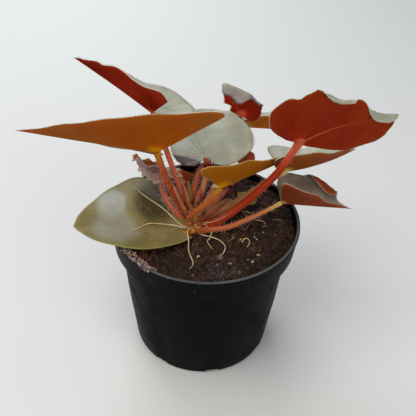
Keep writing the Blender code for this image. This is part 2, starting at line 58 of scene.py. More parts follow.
Pair = tuple[float, float]
Point = tuple[float, float, float]
Colour = tuple[float, float, float]  # linear, as a shader or a lamp takes it
Screen = tuple[int, int, int]  # as it looks on a screen, from 0 to 255

BATCH = 60  # how many small parts are made in one go
TUBE_MERGE = 0.01  # points of a tube that are nearer than this are merged, in millimetres
SPUN_MERGE = 0.005
BLADE_MERGE = 0.02
LUMP_REACH = (0.72, 1.15)  # how far the points of a rough lump lie from its middle, against a smooth one
HAIR_TIP = 0.2  # the radius of a hair's tip, as a share of its foot's
NO_EDGE = 180.0  # no faces meet at more degrees than this, so none shows an edge
CREASE_STEPS = 5  # straight parts between two points of a crease
CREASE_END = 0.45  # how tight an uneven fold is at the ends of its crease
CREASE_SWELL = 0.55  # and how much wider in the middle, both as shares of its radius


# Small mathematics

def smoothstep(value: float) -> float:
    """A soft ramp from 0 to 1 over values from 0 to 1."""
    value = min(max(value, 0.0), 1.0)
    return value * value * (3 - 2 * value)


def in_metres(point: Sequence[float]) -> Vector:
    """The same point in metres."""
    return Vector(point) * MM


def to_linear(colour: Screen) -> Colour:
    """A colour as it looks on a screen, as the linear colour that a shader takes."""
    shares = (value / 255 for value in colour)
    red, green, blue = (s / 12.92 if s <= 0.04045 else ((s + 0.055) / 1.055) ** 2.4 for s in shares)
    return red, green, blue


def smooth_through(points: Iterable[Sequence[float]], per_span: int) -> list[Vector]:
    """Points along a Catmull-Rom curve.

    Args:
        points: The knots, of which the ends are kept.
        per_span: How many points stand for one span between two knots.

    Returns:
        The points of the curve, the last knot included.
    """
    knots = [Vector(p) for p in points]
    knots = [knots[0] * 2 - knots[1]] + knots + [knots[-1] * 2 - knots[-2]]
    path = []
    for a, b, c, d in zip(knots, knots[1:], knots[2:], knots[3:]):
        for step in range(per_span):
            t = step / per_span
            path.append(0.5 * (2 * b + (c - a) * t + (2 * a - 5 * b + 4 * c - d) * t * t
                               + (3 * b - 3 * c + d - a) * t ** 3))
    path.append(knots[-2].copy())
    return path


def length_of(path: Sequence[Vector]) -> float:
    """The length of a line through the points."""
    return sum((b - a).length for a, b in zip(path, path[1:]))


def point_at(path: Sequence[Vector], share: float) -> Vector:
    """The point that lies the given share of the way along a line."""
    left = share * length_of(path)
    for a, b in zip(path, path[1:]):
        step = (b - a).length
        if left <= step and step > 0:
            return a.lerp(b, left / step)
        left -= step
    return path[-1].copy()


def even_path(points: Iterable[Sequence[float]], step: float) -> list[Vector]:
    """Points about a step apart along a smooth curve through the given ones."""
    path = smooth_through(points, 8)
    count = max(2, int(round(length_of(path) / step)))
    return [point_at(path, index / count) for index in range(count + 1)]


# Meshes

def sweep(bm: BMesh, path: Sequence[Vector], radius_at: Callable[[float], float], sides: int,
          skin: bool = False) -> None:
    """Add a round closed tube to a bmesh.

    Args:
        bm: The mesh that takes the tube.
        path: Its centreline, in millimetres.
        radius_at: Gives the radius in millimetres for a share of the way along the path.
        sides: How many sides the tube has.
        skin: Whether to keep the place round and along the tube in a new vector layer named skin.
    """
    directions = [(after - before).normalized()
                  for before, after in zip([path[0]] + list(path[:-1]), list(path[1:]) + [path[-1]])]
    turn = UP.rotation_difference(directions[0])
    last = None
    layer = bm.verts.layers.float_vector.new("skin") if skin else None
    end: list[BMEdge] = []
    for index, (point, direction) in enumerate(zip(path, directions)):
        share = index / (len(path) - 1)
        if index:
            turn = directions[index - 1].rotation_difference(direction) @ turn
        radius = radius_at(share) * MM
        ring = Matrix.LocRotScale(in_metres(point), turn, Vector((radius, radius, radius)))
        if last is None:
            verts = bmesh.ops.create_circle(bm, cap_ends=True, segments=sides, radius=1.0, matrix=ring)["verts"]
            end = list({edge for vert in verts for edge in vert.link_edges})
        else:
            grown = bmesh.ops.extrude_edge_only(bm, edges=end)["geom"]
            end = [item for item in grown if isinstance(item, BMEdge)
                   and all(v in grown for v in item.verts)]
            verts = [item for item in grown if isinstance(item, BMVert)]
            bmesh.ops.transform(bm, matrix=ring @ last.inverted(), verts=verts)
        if layer is not None:
            across = turn.to_matrix().transposed()
            for vert in verts:
                round_it = across @ (vert.co - in_metres(point))
                vert[layer] = (round_it.x / radius, round_it.y / radius, share)
        last = ring
    bmesh.ops.contextual_create(bm, geom=end)


def cleaned(bm: BMesh) -> BMesh:
    """Merge the doubles of a mesh and turn its faces outwards."""
    bmesh.ops.remove_doubles(bm, verts=bm.verts, dist=TUBE_MERGE * MM)
    bmesh.ops.recalc_face_normals(bm, faces=bm.faces)
    return bm


def turned(profile: Sequence[Pair], sides: int) -> BMesh:
    """A closed profile of (radius, height) points, in millimetres, turned about the upright axis."""
    bm = bmesh.new()
    verts = [bm.verts.new(in_metres((radius, 0.0, height))) for radius, height in profile]
    edges = [bm.edges.new(pair) for pair in zip(verts, verts[1:] + verts[:1])]
    bmesh.ops.spin(bm, geom=verts + edges, cent=(0, 0, 0), axis=UP, angle=math.tau, steps=sides, use_merge=True)
    bmesh.ops.remove_doubles(bm, verts=bm.verts, dist=SPUN_MERGE * MM)
    bmesh.ops.dissolve_degenerate(bm, edges=bm.edges, dist=SPUN_MERGE * MM)
    bmesh.ops.recalc_face_normals(bm, faces=bm.faces)
    return bm


def scattered(draw: Random, x: float, y: float, z: float) -> Vector:
    """A vector drawn at random, with the given spread along each axis."""
    return Vector((draw.gauss(0, x), draw.gauss(0, y), draw.gauss(0, z)))


def crumb(bm: BMesh, place: Vector, size: Vector, draw: Random, finer: int = 1) -> None:
    """Add a small rough lump to a bmesh, turned at random, its size and place in millimetres."""
    turn = Matrix.Rotation(draw.uniform(0, math.tau), 3, Vector((draw.gauss(0, 1), draw.gauss(0, 1), 1)).normalized())
    middle = in_metres(place)
    matrix = Matrix.LocRotScale(middle, turn.to_quaternion(), in_metres(size))
    for vert in bmesh.ops.create_icosphere(bm, subdivisions=finer, radius=1.0, matrix=matrix)["verts"]:
        vert.co = middle + (vert.co - middle) * draw.uniform(*LUMP_REACH)


def in_batches(bm: BMesh, count: int, add: Callable[[BMesh], None]) -> None:
    """Add the same kind of small part many times, through small meshes, which is quicker than in one big mesh.

    Args:
        bm: The mesh that takes the parts.
        count: How many there are.
        add: Adds one part to the mesh that it is given.
    """
    for start in range(0, count, BATCH):
        batch = bmesh.new()
        for _ in range(min(BATCH, count - start)):
            add(batch)
        mesh = bpy.data.meshes.new("batch")
        batch.to_mesh(mesh)
        batch.free()
        bm.from_mesh(mesh)
        bpy.data.meshes.remove(mesh)


def spike(bm: BMesh, foot: Vector, way: Vector, length: float, radius: float) -> None:
    """Add a hair to a bmesh: a thin three-sided cone, in millimetres."""
    matrix = Matrix.LocRotScale(in_metres(foot + way * length / 2), UP.rotation_difference(way), None)
    bmesh.ops.create_cone(bm, cap_ends=True, segments=3, radius1=radius * MM, radius2=radius * MM * HAIR_TIP,
                          depth=length * MM, matrix=matrix)


def thicken(obj: Object, thickness: float) -> Modifier:
    """Give a piece that is a sheet its thickness, in millimetres, half of it to each side."""
    solid = obj.modifiers.new("thickness", "SOLIDIFY")
    solid.thickness = thickness * MM
    solid.offset = 0.0
    return solid


# Node trees

class Layout:
    """A node tree that is being laid out."""

    def __init__(self, tree: NodeTree) -> None:
        """Start on a tree that may hold nodes already."""
        self.tree = tree

    def put(self, kind: str, values: dict[Any, Any] | None = None, **settings: Any) -> Node:
        """Add a node.

        Args:
            kind: The node's type, without its first word, ShaderNode.
            values: What each input takes, by its name or number: a value, or another node's output.
            settings: The node's own properties.

        Returns:
            The new node.
        """
        node = self.tree.nodes.new("ShaderNode" + kind)
        for name, value in settings.items():
            setattr(node, name, value)
        for key, value in (values or {}).items():
            self.give(node.inputs[key], value)
        return node

    def give(self, socket: NodeSocket, value: Any) -> None:
        """Link an output to an input, or set the input's value, a colour as it looks on a screen."""
        if isinstance(value, NodeSocket):
            self.tree.links.new(value, socket)
        elif socket.type == "RGBA":
            socket.default_value = (*to_linear(value), 1.0)
        else:
            socket.default_value = value

    def math(self, operation: str, first: Any, second: Any) -> NodeSocket:
        """The result of a sum on two numbers."""
        return self.put("Math", {0: first, 1: second}, operation=operation).outputs[0]

    def over(self, colour: Any, other: Any, mask: Any, share: Any = None) -> NodeSocket:
        """A colour with another one over it where a mask says so, times a share where one is given."""
        if share is not None:
            mask = self.math("MULTIPLY", mask, share)
        return self.put("Mix", {0: mask, 6: colour, 7: other}, data_type="RGBA").outputs[2]

    def ramp(self, value: Any, low: Any, high: Any, at_low: Any = 0.0, at_high: Any = 1.0) -> NodeSocket:
        """A value brought softly from one range to another."""
        return self.put("MapRange", {0: value, 1: low, 2: high, 3: at_low, 4: at_high},
                        interpolation_type="SMOOTHSTEP").outputs[0]

    def layer(self, name: str) -> NodeSocket:
        """The number that the mesh keeps at each point under a name."""
        return self.put("Attribute", attribute_name=name).outputs["Fac"]

    def skin(self) -> Any:
        """The place round and along a tube, as three numbers."""
        return self.put("SeparateXYZ", {0: self.put("Attribute", attribute_name="skin").outputs["Vector"]}).outputs

    def place(self) -> NodeSocket:
        """The place on the object, in metres."""
        return self.put("TexCoord").outputs["Object"]

    def clouds(self, scale: Any, detail: float = 3.0, where: Any = None) -> NodeSocket:
        """A soft noise from 0 to 1, with so many patches to the metre."""
        return self.put("TexNoise", {"Vector": self.place() if where is None else where, "Scale": scale,
                                     "Detail": detail}).outputs["Fac"]

    def bump(self, height: Any, strength: float, distance: float) -> NodeSocket:
        """A normal from a height between 0 and 1, which stands for so many millimetres."""
        return self.put("Bump", {"Height": height, "Strength": strength, "Distance": distance * MM}).outputs[0]


@dataclass(frozen=True)
class Mottle:
    """Soft patches: how many to the metre, the noise where one starts and is whole, and how strongly it shows."""
    scale: float
    low: float
    high: float
    share: float = 1.0


@dataclass(frozen=True)
class Veining:
    """The veins of a blade: the width of a main one, and the number to the metre and the width of the net's."""
    width: float
    net_scale: float
    net_width: float


@dataclass(frozen=True)
class Streaking:
    """Lines along a stalk: how fine their noise is round it, and how much of that noise its length takes."""
    streaks: float
    stretch: float


class NodeGroups:
    """The effects that several materials share, each built once."""
    vein_taper: Pair = (1.3, 0.45)  # how wide a side vein is at the midrib and at the margin
    midrib_width: float = 1.8  # as a multiple of a side vein's
    net_height: float = 0.5  # as a share of a main vein's
    streak_detail: float = 2.0
    streak_levels: Pair = (0.42, 0.62)

    def __init__(self) -> None:
        """Build the groups."""
        self.mottle = self._build("patches", ("Scale", "From", "To"), ("Mask",), self._lay_mottle)
        self.veining = self._build("leaf_veins", ("Width", "Net Scale", "Net Width"), ("Veins", "Net", "Height"),
                                   self._lay_veins)
        self.streaking = self._build("stalk_streaks", ("Streaks", "Stretch"), ("Mask",), self._lay_streaks)

    def _build(self, name: str, inputs: Sequence[str], outputs: Sequence[str],
               lay_out: Callable[[Layout, Any, Any], None]) -> NodeTree:
        """Build a group.

        Args:
            name: The group's name.
            inputs: The names of its inputs.
            outputs: The names of its outputs.
            lay_out: Lays its nodes, from the sockets of its input node to those of its output node.

        Returns:
            The group.
        """
        tree = bpy.data.node_groups.new(name, "ShaderNodeTree")
        for way, sockets in (("INPUT", inputs), ("OUTPUT", outputs)):
            for socket in sockets:
                tree.interface.new_socket(name=socket, in_out=way, socket_type="NodeSocketFloat")
        given, out = tree.nodes.new("NodeGroupInput"), tree.nodes.new("NodeGroupOutput")
        lay_out(Layout(tree), given.outputs, out.inputs)
        return tree

    def _lay_mottle(self, lay: Layout, given: Any, out: Any) -> None:
        """Soft patches over the surface."""
        lay.give(out["Mask"], lay.ramp(lay.clouds(given["Scale"]), given["From"], given["To"]))

    def _lay_veins(self, lay: Layout, given: Any, out: Any) -> None:
        """Main veins along the rows of a blade, and a fine net of small ones between them."""
        wide = lay.math("MULTIPLY", given["Width"], lay.ramp(lay.layer("out"), 0.0, 1.0, *self.vein_taper))
        side = lay.ramp(lay.layer("from_vein"), 0.0, wide, 1.0, 0.0)
        midrib = lay.ramp(lay.layer("from_midrib"), 0.0, lay.math("MULTIPLY", given["Width"], self.midrib_width),
                          1.0, 0.0)
        veins = lay.math("MAXIMUM", side, midrib)
        cells = lay.put("TexVoronoi", {"Vector": lay.place(), "Scale": given["Net Scale"]},
                        feature="DISTANCE_TO_EDGE").outputs["Distance"]
        net = lay.ramp(cells, 0.0, given["Net Width"], 1.0, 0.0)
        lay.give(out["Veins"], veins)
        lay.give(out["Net"], net)
        lay.give(out["Height"], lay.math("MAXIMUM", veins, lay.math("MULTIPLY", net, self.net_height)))

    def _lay_streaks(self, lay: Layout, given: Any, out: Any) -> None:
        """Lines that run along a stalk."""
        skin = lay.skin()
        where = lay.put("CombineXYZ", {0: skin[0], 1: skin[1], 2: lay.math("MULTIPLY", skin[2], given["Stretch"])})
        noise_there = lay.clouds(given["Streaks"], self.streak_detail, where.outputs[0])
        lay.give(out["Mask"], lay.ramp(noise_there, *self.streak_levels))

    @staticmethod
    def _use(lay: Layout, tree: NodeTree, values: Iterable[float]) -> Any:
        """Place a group in a material, with the values of its inputs in order, and give its outputs."""
        node = lay.tree.nodes.new("ShaderNodeGroup")
        node.node_tree = tree
        for socket, value in zip(node.inputs, values):
            socket.default_value = value
        return node.outputs

    def patches(self, lay: Layout, mottle: Mottle) -> NodeSocket:
        """A mask of soft patches."""
        return self._use(lay, self.mottle, (mottle.scale, mottle.low, mottle.high))["Mask"]

    def veins(self, lay: Layout, veining: Veining) -> Any:
        """The masks of the main veins and of the net, and the height of both."""
        return self._use(lay, self.veining, (veining.width, veining.net_scale, veining.net_width))

    def streaks(self, lay: Layout, streaking: Streaking) -> NodeSocket:
        """A mask of lines along a stalk."""
        return self._use(lay, self.streaking, (streaking.streaks, streaking.stretch))["Mask"]


@dataclass(frozen=True)
class Glow:
    """The light that passes through a finish: how much, how its colours share it, and how deep, in millimetres."""
    weight: float
    colours: Colour
    depth: float


class Finish:
    """A material that is being made: a Principled shader and the layout of its nodes."""

    def __init__(self, name: str, roughness: float, gloss: float, glow: Glow | None = None) -> None:
        """Start the material.

        Args:
            name: The material's name.
            roughness: The shader's roughness where nothing else feeds it.
            gloss: Its specular level.
            glow: The light that passes through it, where any does.
        """
        self.material = bpy.data.materials.new(name)
        self.material.use_nodes = True
        self.lay = Layout(self.material.node_tree)
        self.shader = self.material.node_tree.nodes["Principled BSDF"]
        self.set(Roughness=roughness, Specular_IOR_Level=gloss)
        if glow:
            self.set(Subsurface_Weight=glow.weight, Subsurface_Radius=glow.colours, Subsurface_Scale=glow.depth * MM)

    def set(self, **values: Any) -> None:
        """Set or feed inputs of the shader, by their names with an underscore for a space."""
        for name, value in values.items():
            self.lay.give(self.shader.inputs[name.replace("_", " ")], value)


@dataclass(frozen=True)
class LeafBack:
    """The finish of a blade's underside, from its foot at the stalk to its far end, its reaches in millimetres."""
    body: Screen
    deep: Screen
    far: Screen
    margin: Screen
    foot: Screen
    vein: Screen
    far_reach: Pair = (20.0, 60.0)
    foot_reach: float = 9.0
    foot_whole: float = 1.5
    vein_share: float = 0.3
    vein_reach: float = 24.0
    vein_whole: float = 3.0
    vein_far: float = 0.06
    net_share: float = 0.12
    midrib_share: float = 0.7
    midrib_width: Pair = (0.2, 1.5)
    midrib_reach: Pair = (8.0, 44.0)
    margin_share: float = 0.5
    margin_width: float = 7.0
    patches: Mottle = Mottle(55.0, 0.36, 0.68, 0.7)
    grain: Mottle = Mottle(420.0, 0.3, 0.75, 0.18)
    veining: Veining = Veining(0.6, 380.0, 0.1)
    glow: Glow = Glow(0.3, (1.0, 0.25, 0.05), 1.5)
    roughness: float = 0.6
    gloss: float = 0.03
    relief: Pair = (0.18, 0.2)

    def material(self, name: str, groups: NodeGroups) -> Material:
        """The material, with darker patches, paler veins, a light margin and a bright foot at the stalk."""
        finish = Finish(name, self.roughness, self.gloss, self.glow)
        lay = finish.lay
        foot = lay.layer("from_foot")
        patches, grain = groups.patches(lay, self.patches), groups.patches(lay, self.grain)
        veins = groups.veins(lay, self.veining)
        colour = lay.over(self.body, self.far, lay.ramp(foot, *self.far_reach))
        colour = lay.over(colour, self.deep, patches, self.patches.share)
        colour = lay.over(colour, self.margin, grain, self.grain.share)
        colour = lay.over(colour, self.margin,
                          lay.ramp(lay.layer("to_edge"), 0.0, self.margin_width, self.margin_share, 0.0))
        near = lay.ramp(foot, self.vein_whole, self.vein_reach, 1.0, self.vein_far)
        colour = lay.over(colour, self.vein, veins["Veins"], lay.math("MULTIPLY", near, self.vein_share))
        colour = lay.over(colour, self.deep, veins["Net"], self.net_share)
        midrib = lay.ramp(lay.layer("from_midrib"), *self.midrib_width, self.midrib_share, 0.0)
        colour = lay.over(colour, self.vein, midrib, lay.ramp(foot, *self.midrib_reach, 1.0, 0.0))
        colour = lay.over(colour, self.foot, lay.ramp(foot, self.foot_whole, self.foot_reach, 1.0, 0.0))
        finish.set(Base_Color=colour, Normal=lay.bump(veins["Height"], *self.relief))
        return finish.material


@dataclass(frozen=True)
class LeafFace:
    """The finish of a blade's upper side, its reaches in millimetres."""
    light: Screen
    shade: Screen
    vein: Screen
    margin: Screen
    # The tint colour: a real tint on young_top, painted shade on the silver blade's rolled lobe, a painted reflection
    # on low_left.
    tint: Screen = (134, 118, 112)
    tint_margin: Screen = (104, 40, 32)
    patchy: float = 1.0
    tint_patchy: float = 0.15
    vein_share: float = 0.4
    vein_reach: float = 26.0
    vein_whole: float = 2.0
    vein_far: float = 0.25
    net_share: float = 0.12
    margin_share: float = 0.6
    margin_width: Pair = (0.2, 1.2)
    patches: Mottle = Mottle(75.0, 0.38, 0.66)
    grain: Mottle = Mottle(700.0, 0.35, 0.7, 0.25)
    tint_patches: Mottle = Mottle(42.0, 0.34, 0.62)
    veining: Veining = Veining(0.5, 450.0, 0.14)
    roughness: float = 0.42
    rough_spread: Pair = (-0.05, 0.1)
    gloss: float = 0.3
    through: float = 0.2
    glow_colours: Colour = (1.0, 0.6, 0.35)
    glow_depth: float = 1.0
    relief: float = 0.25
    relief_depth: float = -0.15

    def material(self, name: str, groups: NodeGroups) -> Material:
        """The material, with patches, fine veins, a pale margin, and the tint and shade that the mesh's layer asks for:
        a real tint on one blade, painted shade, a painted highlight and a painted reflection on others.
        """
        finish = Finish(name, self.roughness, self.gloss, Glow(self.through, self.glow_colours, self.glow_depth))
        lay = finish.lay
        tint = lay.layer("tint")
        patches, grain = groups.patches(lay, self.patches), groups.patches(lay, self.grain)
        veins = groups.veins(lay, self.veining)
        colour = lay.over(self.light, self.shade, patches, self.patchy)
        colour = lay.over(colour, self.shade, grain, self.grain.share)
        # Below zero the layer brings in the shade colour as painted shade; above zero the tint colour, a real tint on
        # one blade and painted shade, a painted highlight and a painted reflection on others.
        colour = lay.over(colour, self.shade, lay.ramp(tint, -1.0, 0.0, 1.0, 0.0))
        whole = lay.ramp(groups.patches(lay, self.tint_patches), 0.0, 1.0, 1.0 - self.tint_patchy, 1.0)
        colour = lay.over(colour, self.tint, lay.ramp(tint, 0.0, 1.0), whole)
        colour = lay.over(colour, self.vein, veins["Net"], self.net_share)
        near = lay.ramp(lay.layer("from_foot"), self.vein_whole, self.vein_reach, 1.0, self.vein_far)
        colour = lay.over(colour, self.vein, veins["Veins"], lay.math("MULTIPLY", near, self.vein_share))
        margin = lay.over(self.margin, self.tint_margin, lay.ramp(tint, 0.0, 1.0))
        colour = lay.over(colour, margin, lay.ramp(lay.layer("to_edge"), *self.margin_width, self.margin_share, 0.0))
        rough = lay.ramp(grain, 0.0, 1.0, *(self.roughness + spread for spread in self.rough_spread))
        finish.set(Base_Color=colour, Roughness=rough,
                   Normal=lay.bump(veins["Height"], self.relief, self.relief_depth))
        return finish.material


@dataclass(frozen=True)
class StalkSkin:
    """The finish of a stalk, from its low end to its high end."""
    low: Screen
    middle: Screen
    high: Screen
    streak: Screen
    low_part: Pair = (0.05, 0.55)
    high_part: Pair = (0.72, 0.98)
    wide: Streaking = Streaking(2.6, 2.0)
    wide_share: float = 0.5
    fine: Streaking = Streaking(7.0, 4.0)
    fine_share: float = 0.25
    glow: Glow = Glow(0.4, (1.0, 0.3, 0.12), 2.0)
    roughness: float = 0.42
    gloss: float = 0.12
    relief: Pair = (0.3, 0.15)

    def material(self, name: str, groups: NodeGroups) -> Material:
        """The material, with lines along the stalk and a soft change of colour from end to end."""
        finish = Finish(name, self.roughness, self.gloss, self.glow)
        lay = finish.lay
        along = lay.skin()[2]
        wide, fine = groups.streaks(lay, self.wide), groups.streaks(lay, self.fine)
        colour = lay.over(self.low, self.middle, lay.ramp(along, *self.low_part))
        colour = lay.over(colour, self.high, lay.ramp(along, *self.high_part))
        colour = lay.over(colour, self.streak, wide, self.wide_share)
        colour = lay.over(colour, self.low, fine, self.fine_share)
        finish.set(Base_Color=colour, Normal=lay.bump(fine, *self.relief))
        return finish.material


@dataclass(frozen=True)
class Mould:
    """The finish of the pot's moulded plastic, its heights in metres."""
    body: Screen = (13, 13, 14)
    scuff: Screen = (19, 19, 20)
    # The lip's colour: a paler band on its top, part wear and part painted highlight.
    lip: Screen = (90, 90, 90)
    dust: Screen = (70, 56, 44)
    dust_heights: Pair = (0.075, 0.097)
    worn_heights: Pair = (0.0972, 0.0979)
    worn_share: float = 0.9
    worn_scuffed: float = 0.6
    scuffs: Mottle = Mottle(45.0, 0.45, 0.75, 0.35)
    grain: Mottle = Mottle(1500.0, 0.3, 0.7, 0.25)
    specks: Mottle = Mottle(330.0, 0.66, 0.72, 0.8)
    roughness: Pair = (0.46, 0.62)
    gloss: float = 0.03
    relief: Pair = (0.25, 0.06)

    def material(self, name: str, groups: NodeGroups) -> Material:
        """The material, with scuffs, a paler lip that is part wear and part painted highlight, and a little dried soil
        under it.
        """
        finish = Finish(name, self.roughness[0], self.gloss)
        lay = finish.lay
        height = lay.put("SeparateXYZ", {0: lay.place()}).outputs[2]
        scuffs, grain, specks = (groups.patches(lay, kind) for kind in (self.scuffs, self.grain, self.specks))
        colour = lay.over(self.body, self.scuff, scuffs, self.scuffs.share)
        colour = lay.over(colour, self.scuff, grain, self.grain.share)
        colour = lay.over(colour, self.dust, specks, lay.ramp(height, *self.dust_heights, 0.0, self.specks.share))
        # A paler band on the top of the lip: part wear and part painted highlight.
        colour = lay.over(colour, self.lip, lay.ramp(height, *self.worn_heights, 0.0, self.worn_share),
                          lay.ramp(scuffs, 0.0, 1.0, 1.0, self.worn_scuffed))
        finish.set(Base_Color=colour, Roughness=lay.ramp(scuffs, 0.0, 1.0, *self.roughness),
                   Normal=lay.bump(grain, *self.relief))
        return finish.material


@dataclass(frozen=True)
class Earth:
    """A rough finish of two colours, with so many patches to the metre: the soil, and what lies or grows in it."""
    dark: Screen
    light: Screen
    patch_scale: float = 220.0
    roughness: float = 0.85
    gloss: float = 0.3
    smoother: float = 0.2
    patch_levels: Pair = (0.4, 0.66)
    wide: Mottle = Mottle(60.0, 0.35, 0.7, 0.3)
    grain: Mottle = Mottle(1400.0, 0.35, 0.65, 0.3)
    relief: Pair = (0.7, 0.3)

    def material(self, name: str, groups: NodeGroups) -> Material:
        """The material, with patches, grain and a rough surface."""
        finish = Finish(name, self.roughness, self.gloss)
        lay = finish.lay
        patches, wide, grain = (groups.patches(lay, kind) for kind in (Mottle(self.patch_scale, *self.patch_levels),
                                                                       self.wide, self.grain))
        colour = lay.over(self.dark, self.light, patches, lay.ramp(wide, 0.0, 1.0, self.wide.share, 1.0))
        colour = lay.over(colour, self.light, grain, self.grain.share)
        finish.set(Base_Color=colour,
                   Roughness=lay.ramp(patches, 0.0, 1.0, self.roughness, self.roughness - self.smoother),
                   Normal=lay.bump(grain, *self.relief))
        return finish.material


# The finishes by name

class Back(Enum):
    """The colours that an underside can have."""
    GOLD = LeafBack(body=(156, 80, 12), deep=(146, 64, 8), far=(138, 82, 34), margin=(160, 84, 28), foot=(196, 136, 6),
                    vein=(176, 94, 26))
    MUSTARD = LeafBack(body=(150, 88, 10), deep=(136, 74, 12), far=(144, 78, 26), margin=(160, 104, 22),
                       foot=(196, 144, 14), vein=(168, 106, 28), far_reach=(14.0, 44.0))
    AMBER = LeafBack(body=(202, 116, 28), deep=(176, 92, 22), far=(204, 120, 38), margin=(186, 120, 46),
                     foot=(206, 176, 90), vein=(190, 116, 50))
    COPPER = LeafBack(body=(146, 78, 14), deep=(122, 58, 24), far=(124, 62, 34), margin=(154, 90, 44),
                      foot=(216, 196, 96), vein=(176, 108, 56), far_reach=(6.0, 30.0), foot_reach=7.0)
    RUST = LeafBack(body=(126, 54, 24), deep=(104, 42, 22), far=(132, 58, 28), margin=(142, 72, 36),
                    foot=(206, 170, 96), vein=(150, 80, 48), foot_reach=5.0)
    RED = LeafBack(body=(132, 37, 12), deep=(122, 28, 8), far=(138, 44, 8), margin=(142, 50, 12), foot=(200, 104, 72),
                   vein=(178, 84, 56), vein_share=0.2, vein_reach=30.0, foot_reach=5.0, far_reach=(16.0, 44.0))
    SCARLET = LeafBack(body=(168, 46, 24), deep=(124, 26, 14), far=(112, 32, 20), margin=(146, 44, 22),
                       foot=(206, 104, 70), vein=(170, 58, 36), vein_share=0.4, foot_reach=5.0, far_reach=(14.0, 50.0),
                       gloss=0.0)
    BRICK = LeafBack(body=(184, 92, 58), deep=(156, 70, 42), far=(176, 84, 52), margin=(190, 110, 80),
                     foot=(176, 90, 60), vein=(196, 120, 90))
    WINE = LeafBack(body=(92, 26, 22), deep=(66, 18, 16), far=(92, 26, 22), margin=(112, 40, 32), foot=(124, 50, 36),
                    vein=(120, 46, 36))


class Face(Enum):
    """The colours that an upper side can have."""
    SILVER = LeafFace(light=(172, 171, 152), shade=(150, 150, 132), vein=(132, 132, 114), margin=(190, 184, 160),
                      vein_share=0.26, tint=(172, 162, 156), tint_patchy=0.4)
    # The silver blade's face: its dark tint is painted shade on the lobe that rolls down at the lower left.
    PEARL = LeafFace(light=(174, 173, 153), shade=(154, 154, 136), vein=(132, 132, 114), margin=(190, 184, 160),
                     vein_share=0.26, tint=(78, 58, 62))
    GREY = LeafFace(light=(152, 140, 122), shade=(122, 108, 94), vein=(98, 86, 74), margin=(170, 150, 124),
                    vein_share=0.3)
    YELLOW = LeafFace(light=(176, 160, 116), shade=(150, 128, 84), vein=(132, 104, 60), margin=(160, 128, 34))
    BRUISE = LeafFace(light=(120, 56, 44), shade=(88, 32, 26), vein=(64, 20, 16), margin=(90, 24, 20))
    MAUVE = LeafFace(light=(214, 184, 174), shade=(174, 132, 122), vein=(120, 78, 68), margin=(196, 176, 162),
                     vein_share=0.3)
    BROWN = LeafFace(light=(120, 62, 30), shade=(94, 44, 22), vein=(140, 80, 44), margin=(140, 96, 50), vein_share=0.3)
    # Its pale tint is a painted reflection, a broad sheen; its shade colour is darkened to paint shade near the crown.
    OLIVE = LeafFace(light=(130, 116, 68), shade=(52, 38, 10), vein=(140, 132, 88), margin=(142, 142, 62),
                     tint=(154, 157, 148), tint_margin=(140, 142, 72), patchy=0.3, tint_patchy=0.3, vein_share=0.22,
                     vein_reach=60.0, net_share=0.2, roughness=0.36, gloss=0.1, through=0.04, relief=0.08)
    LIME = LeafFace(light=(158, 134, 34), shade=(118, 94, 26), vein=(150, 136, 50), margin=(168, 166, 40),
                    roughness=0.4, gloss=0.2)


class Skin(Enum):
    """The colours that a stalk can have: at its low end, in the middle, at its high end, and of its streaks."""
    GOLDEN = StalkSkin((136, 58, 14), (166, 84, 18), (190, 132, 20), (178, 104, 36))
    ORANGE = StalkSkin((142, 38, 12), (162, 62, 20), (184, 122, 18), (176, 84, 40))
    PINK = StalkSkin((168, 70, 36), (188, 80, 52), (194, 92, 70), (196, 118, 88))
    PALE = StalkSkin((172, 84, 42), (198, 114, 68), (188, 110, 74), (212, 148, 100))
    SALMON = StalkSkin((160, 68, 34), (184, 100, 62), (212, 178, 104), (196, 136, 88))
    CREAM = StalkSkin((160, 68, 34), (196, 136, 84), (228, 206, 140), (206, 158, 106))
    SCARLET = StalkSkin((144, 42, 8), (160, 40, 10), (196, 92, 62), (172, 68, 36))


class Ground(Enum):
    """The finishes of the soil, the crown, the roots and the hairs.

    Each by its dark and its light colour, then its patches to the metre, its roughness and its gloss where they differ.
    """
    SOIL = Earth((14, 9, 6), (72, 42, 24), gloss=0.25)
    CRUMB = Earth((20, 12, 8), (106, 62, 36), 330.0, 0.75, gloss=0.35)
    CLOD = Earth((20, 13, 10), (96, 58, 40), 420.0)
    # Wet crumbs: their gloss is real, and their pale grey paints glints.
    WET = Earth((22, 20, 21), (92, 88, 90), 420.0, 0.42, gloss=0.9)
    COIR = Earth((92, 52, 38), (146, 98, 78), 300.0)
    TUFT = Earth((150, 112, 96), (214, 196, 184), 420.0, 0.7)
    CHIP = Earth((160, 118, 80), (206, 170, 132), 300.0, 0.75)
    PERLITE = Earth((188, 178, 160), (226, 220, 206), 500.0, 0.7)
    SPECK = Earth((112, 98, 88), (176, 164, 152), 500.0, 0.7)
    FIBRE = Earth((66, 42, 28), (122, 86, 60), 200.0)
    ROOT = Earth((184, 156, 110), (222, 202, 162), 300.0, 0.6)
    OLD_ROOT = Earth((116, 86, 62), (160, 130, 100), 300.0, 0.7)
    RHIZOME = Earth((150, 84, 28), (204, 134, 62), 260.0, 0.5)
    SCALE = Earth((112, 54, 26), (156, 88, 50), 300.0, 0.7)
    STIPULE = Earth((160, 88, 42), (200, 134, 78), 200.0, 0.55)
    SHEATH = Earth((120, 76, 36), (162, 116, 64), 200.0, 0.6)
    BLUSH = Earth((150, 66, 42), (190, 108, 78), 200.0, 0.5)
    TEETH = Earth((104, 14, 6), (150, 34, 16), 300.0, 0.5)
    DARK_HAIR = Earth((60, 14, 12), (104, 30, 24), 300.0, 0.5)
    HAIR = Earth((206, 176, 158), (236, 218, 204), 200.0, 0.5)


class Plastic(Enum):
    """The pot's finish."""
    POT = Mould()


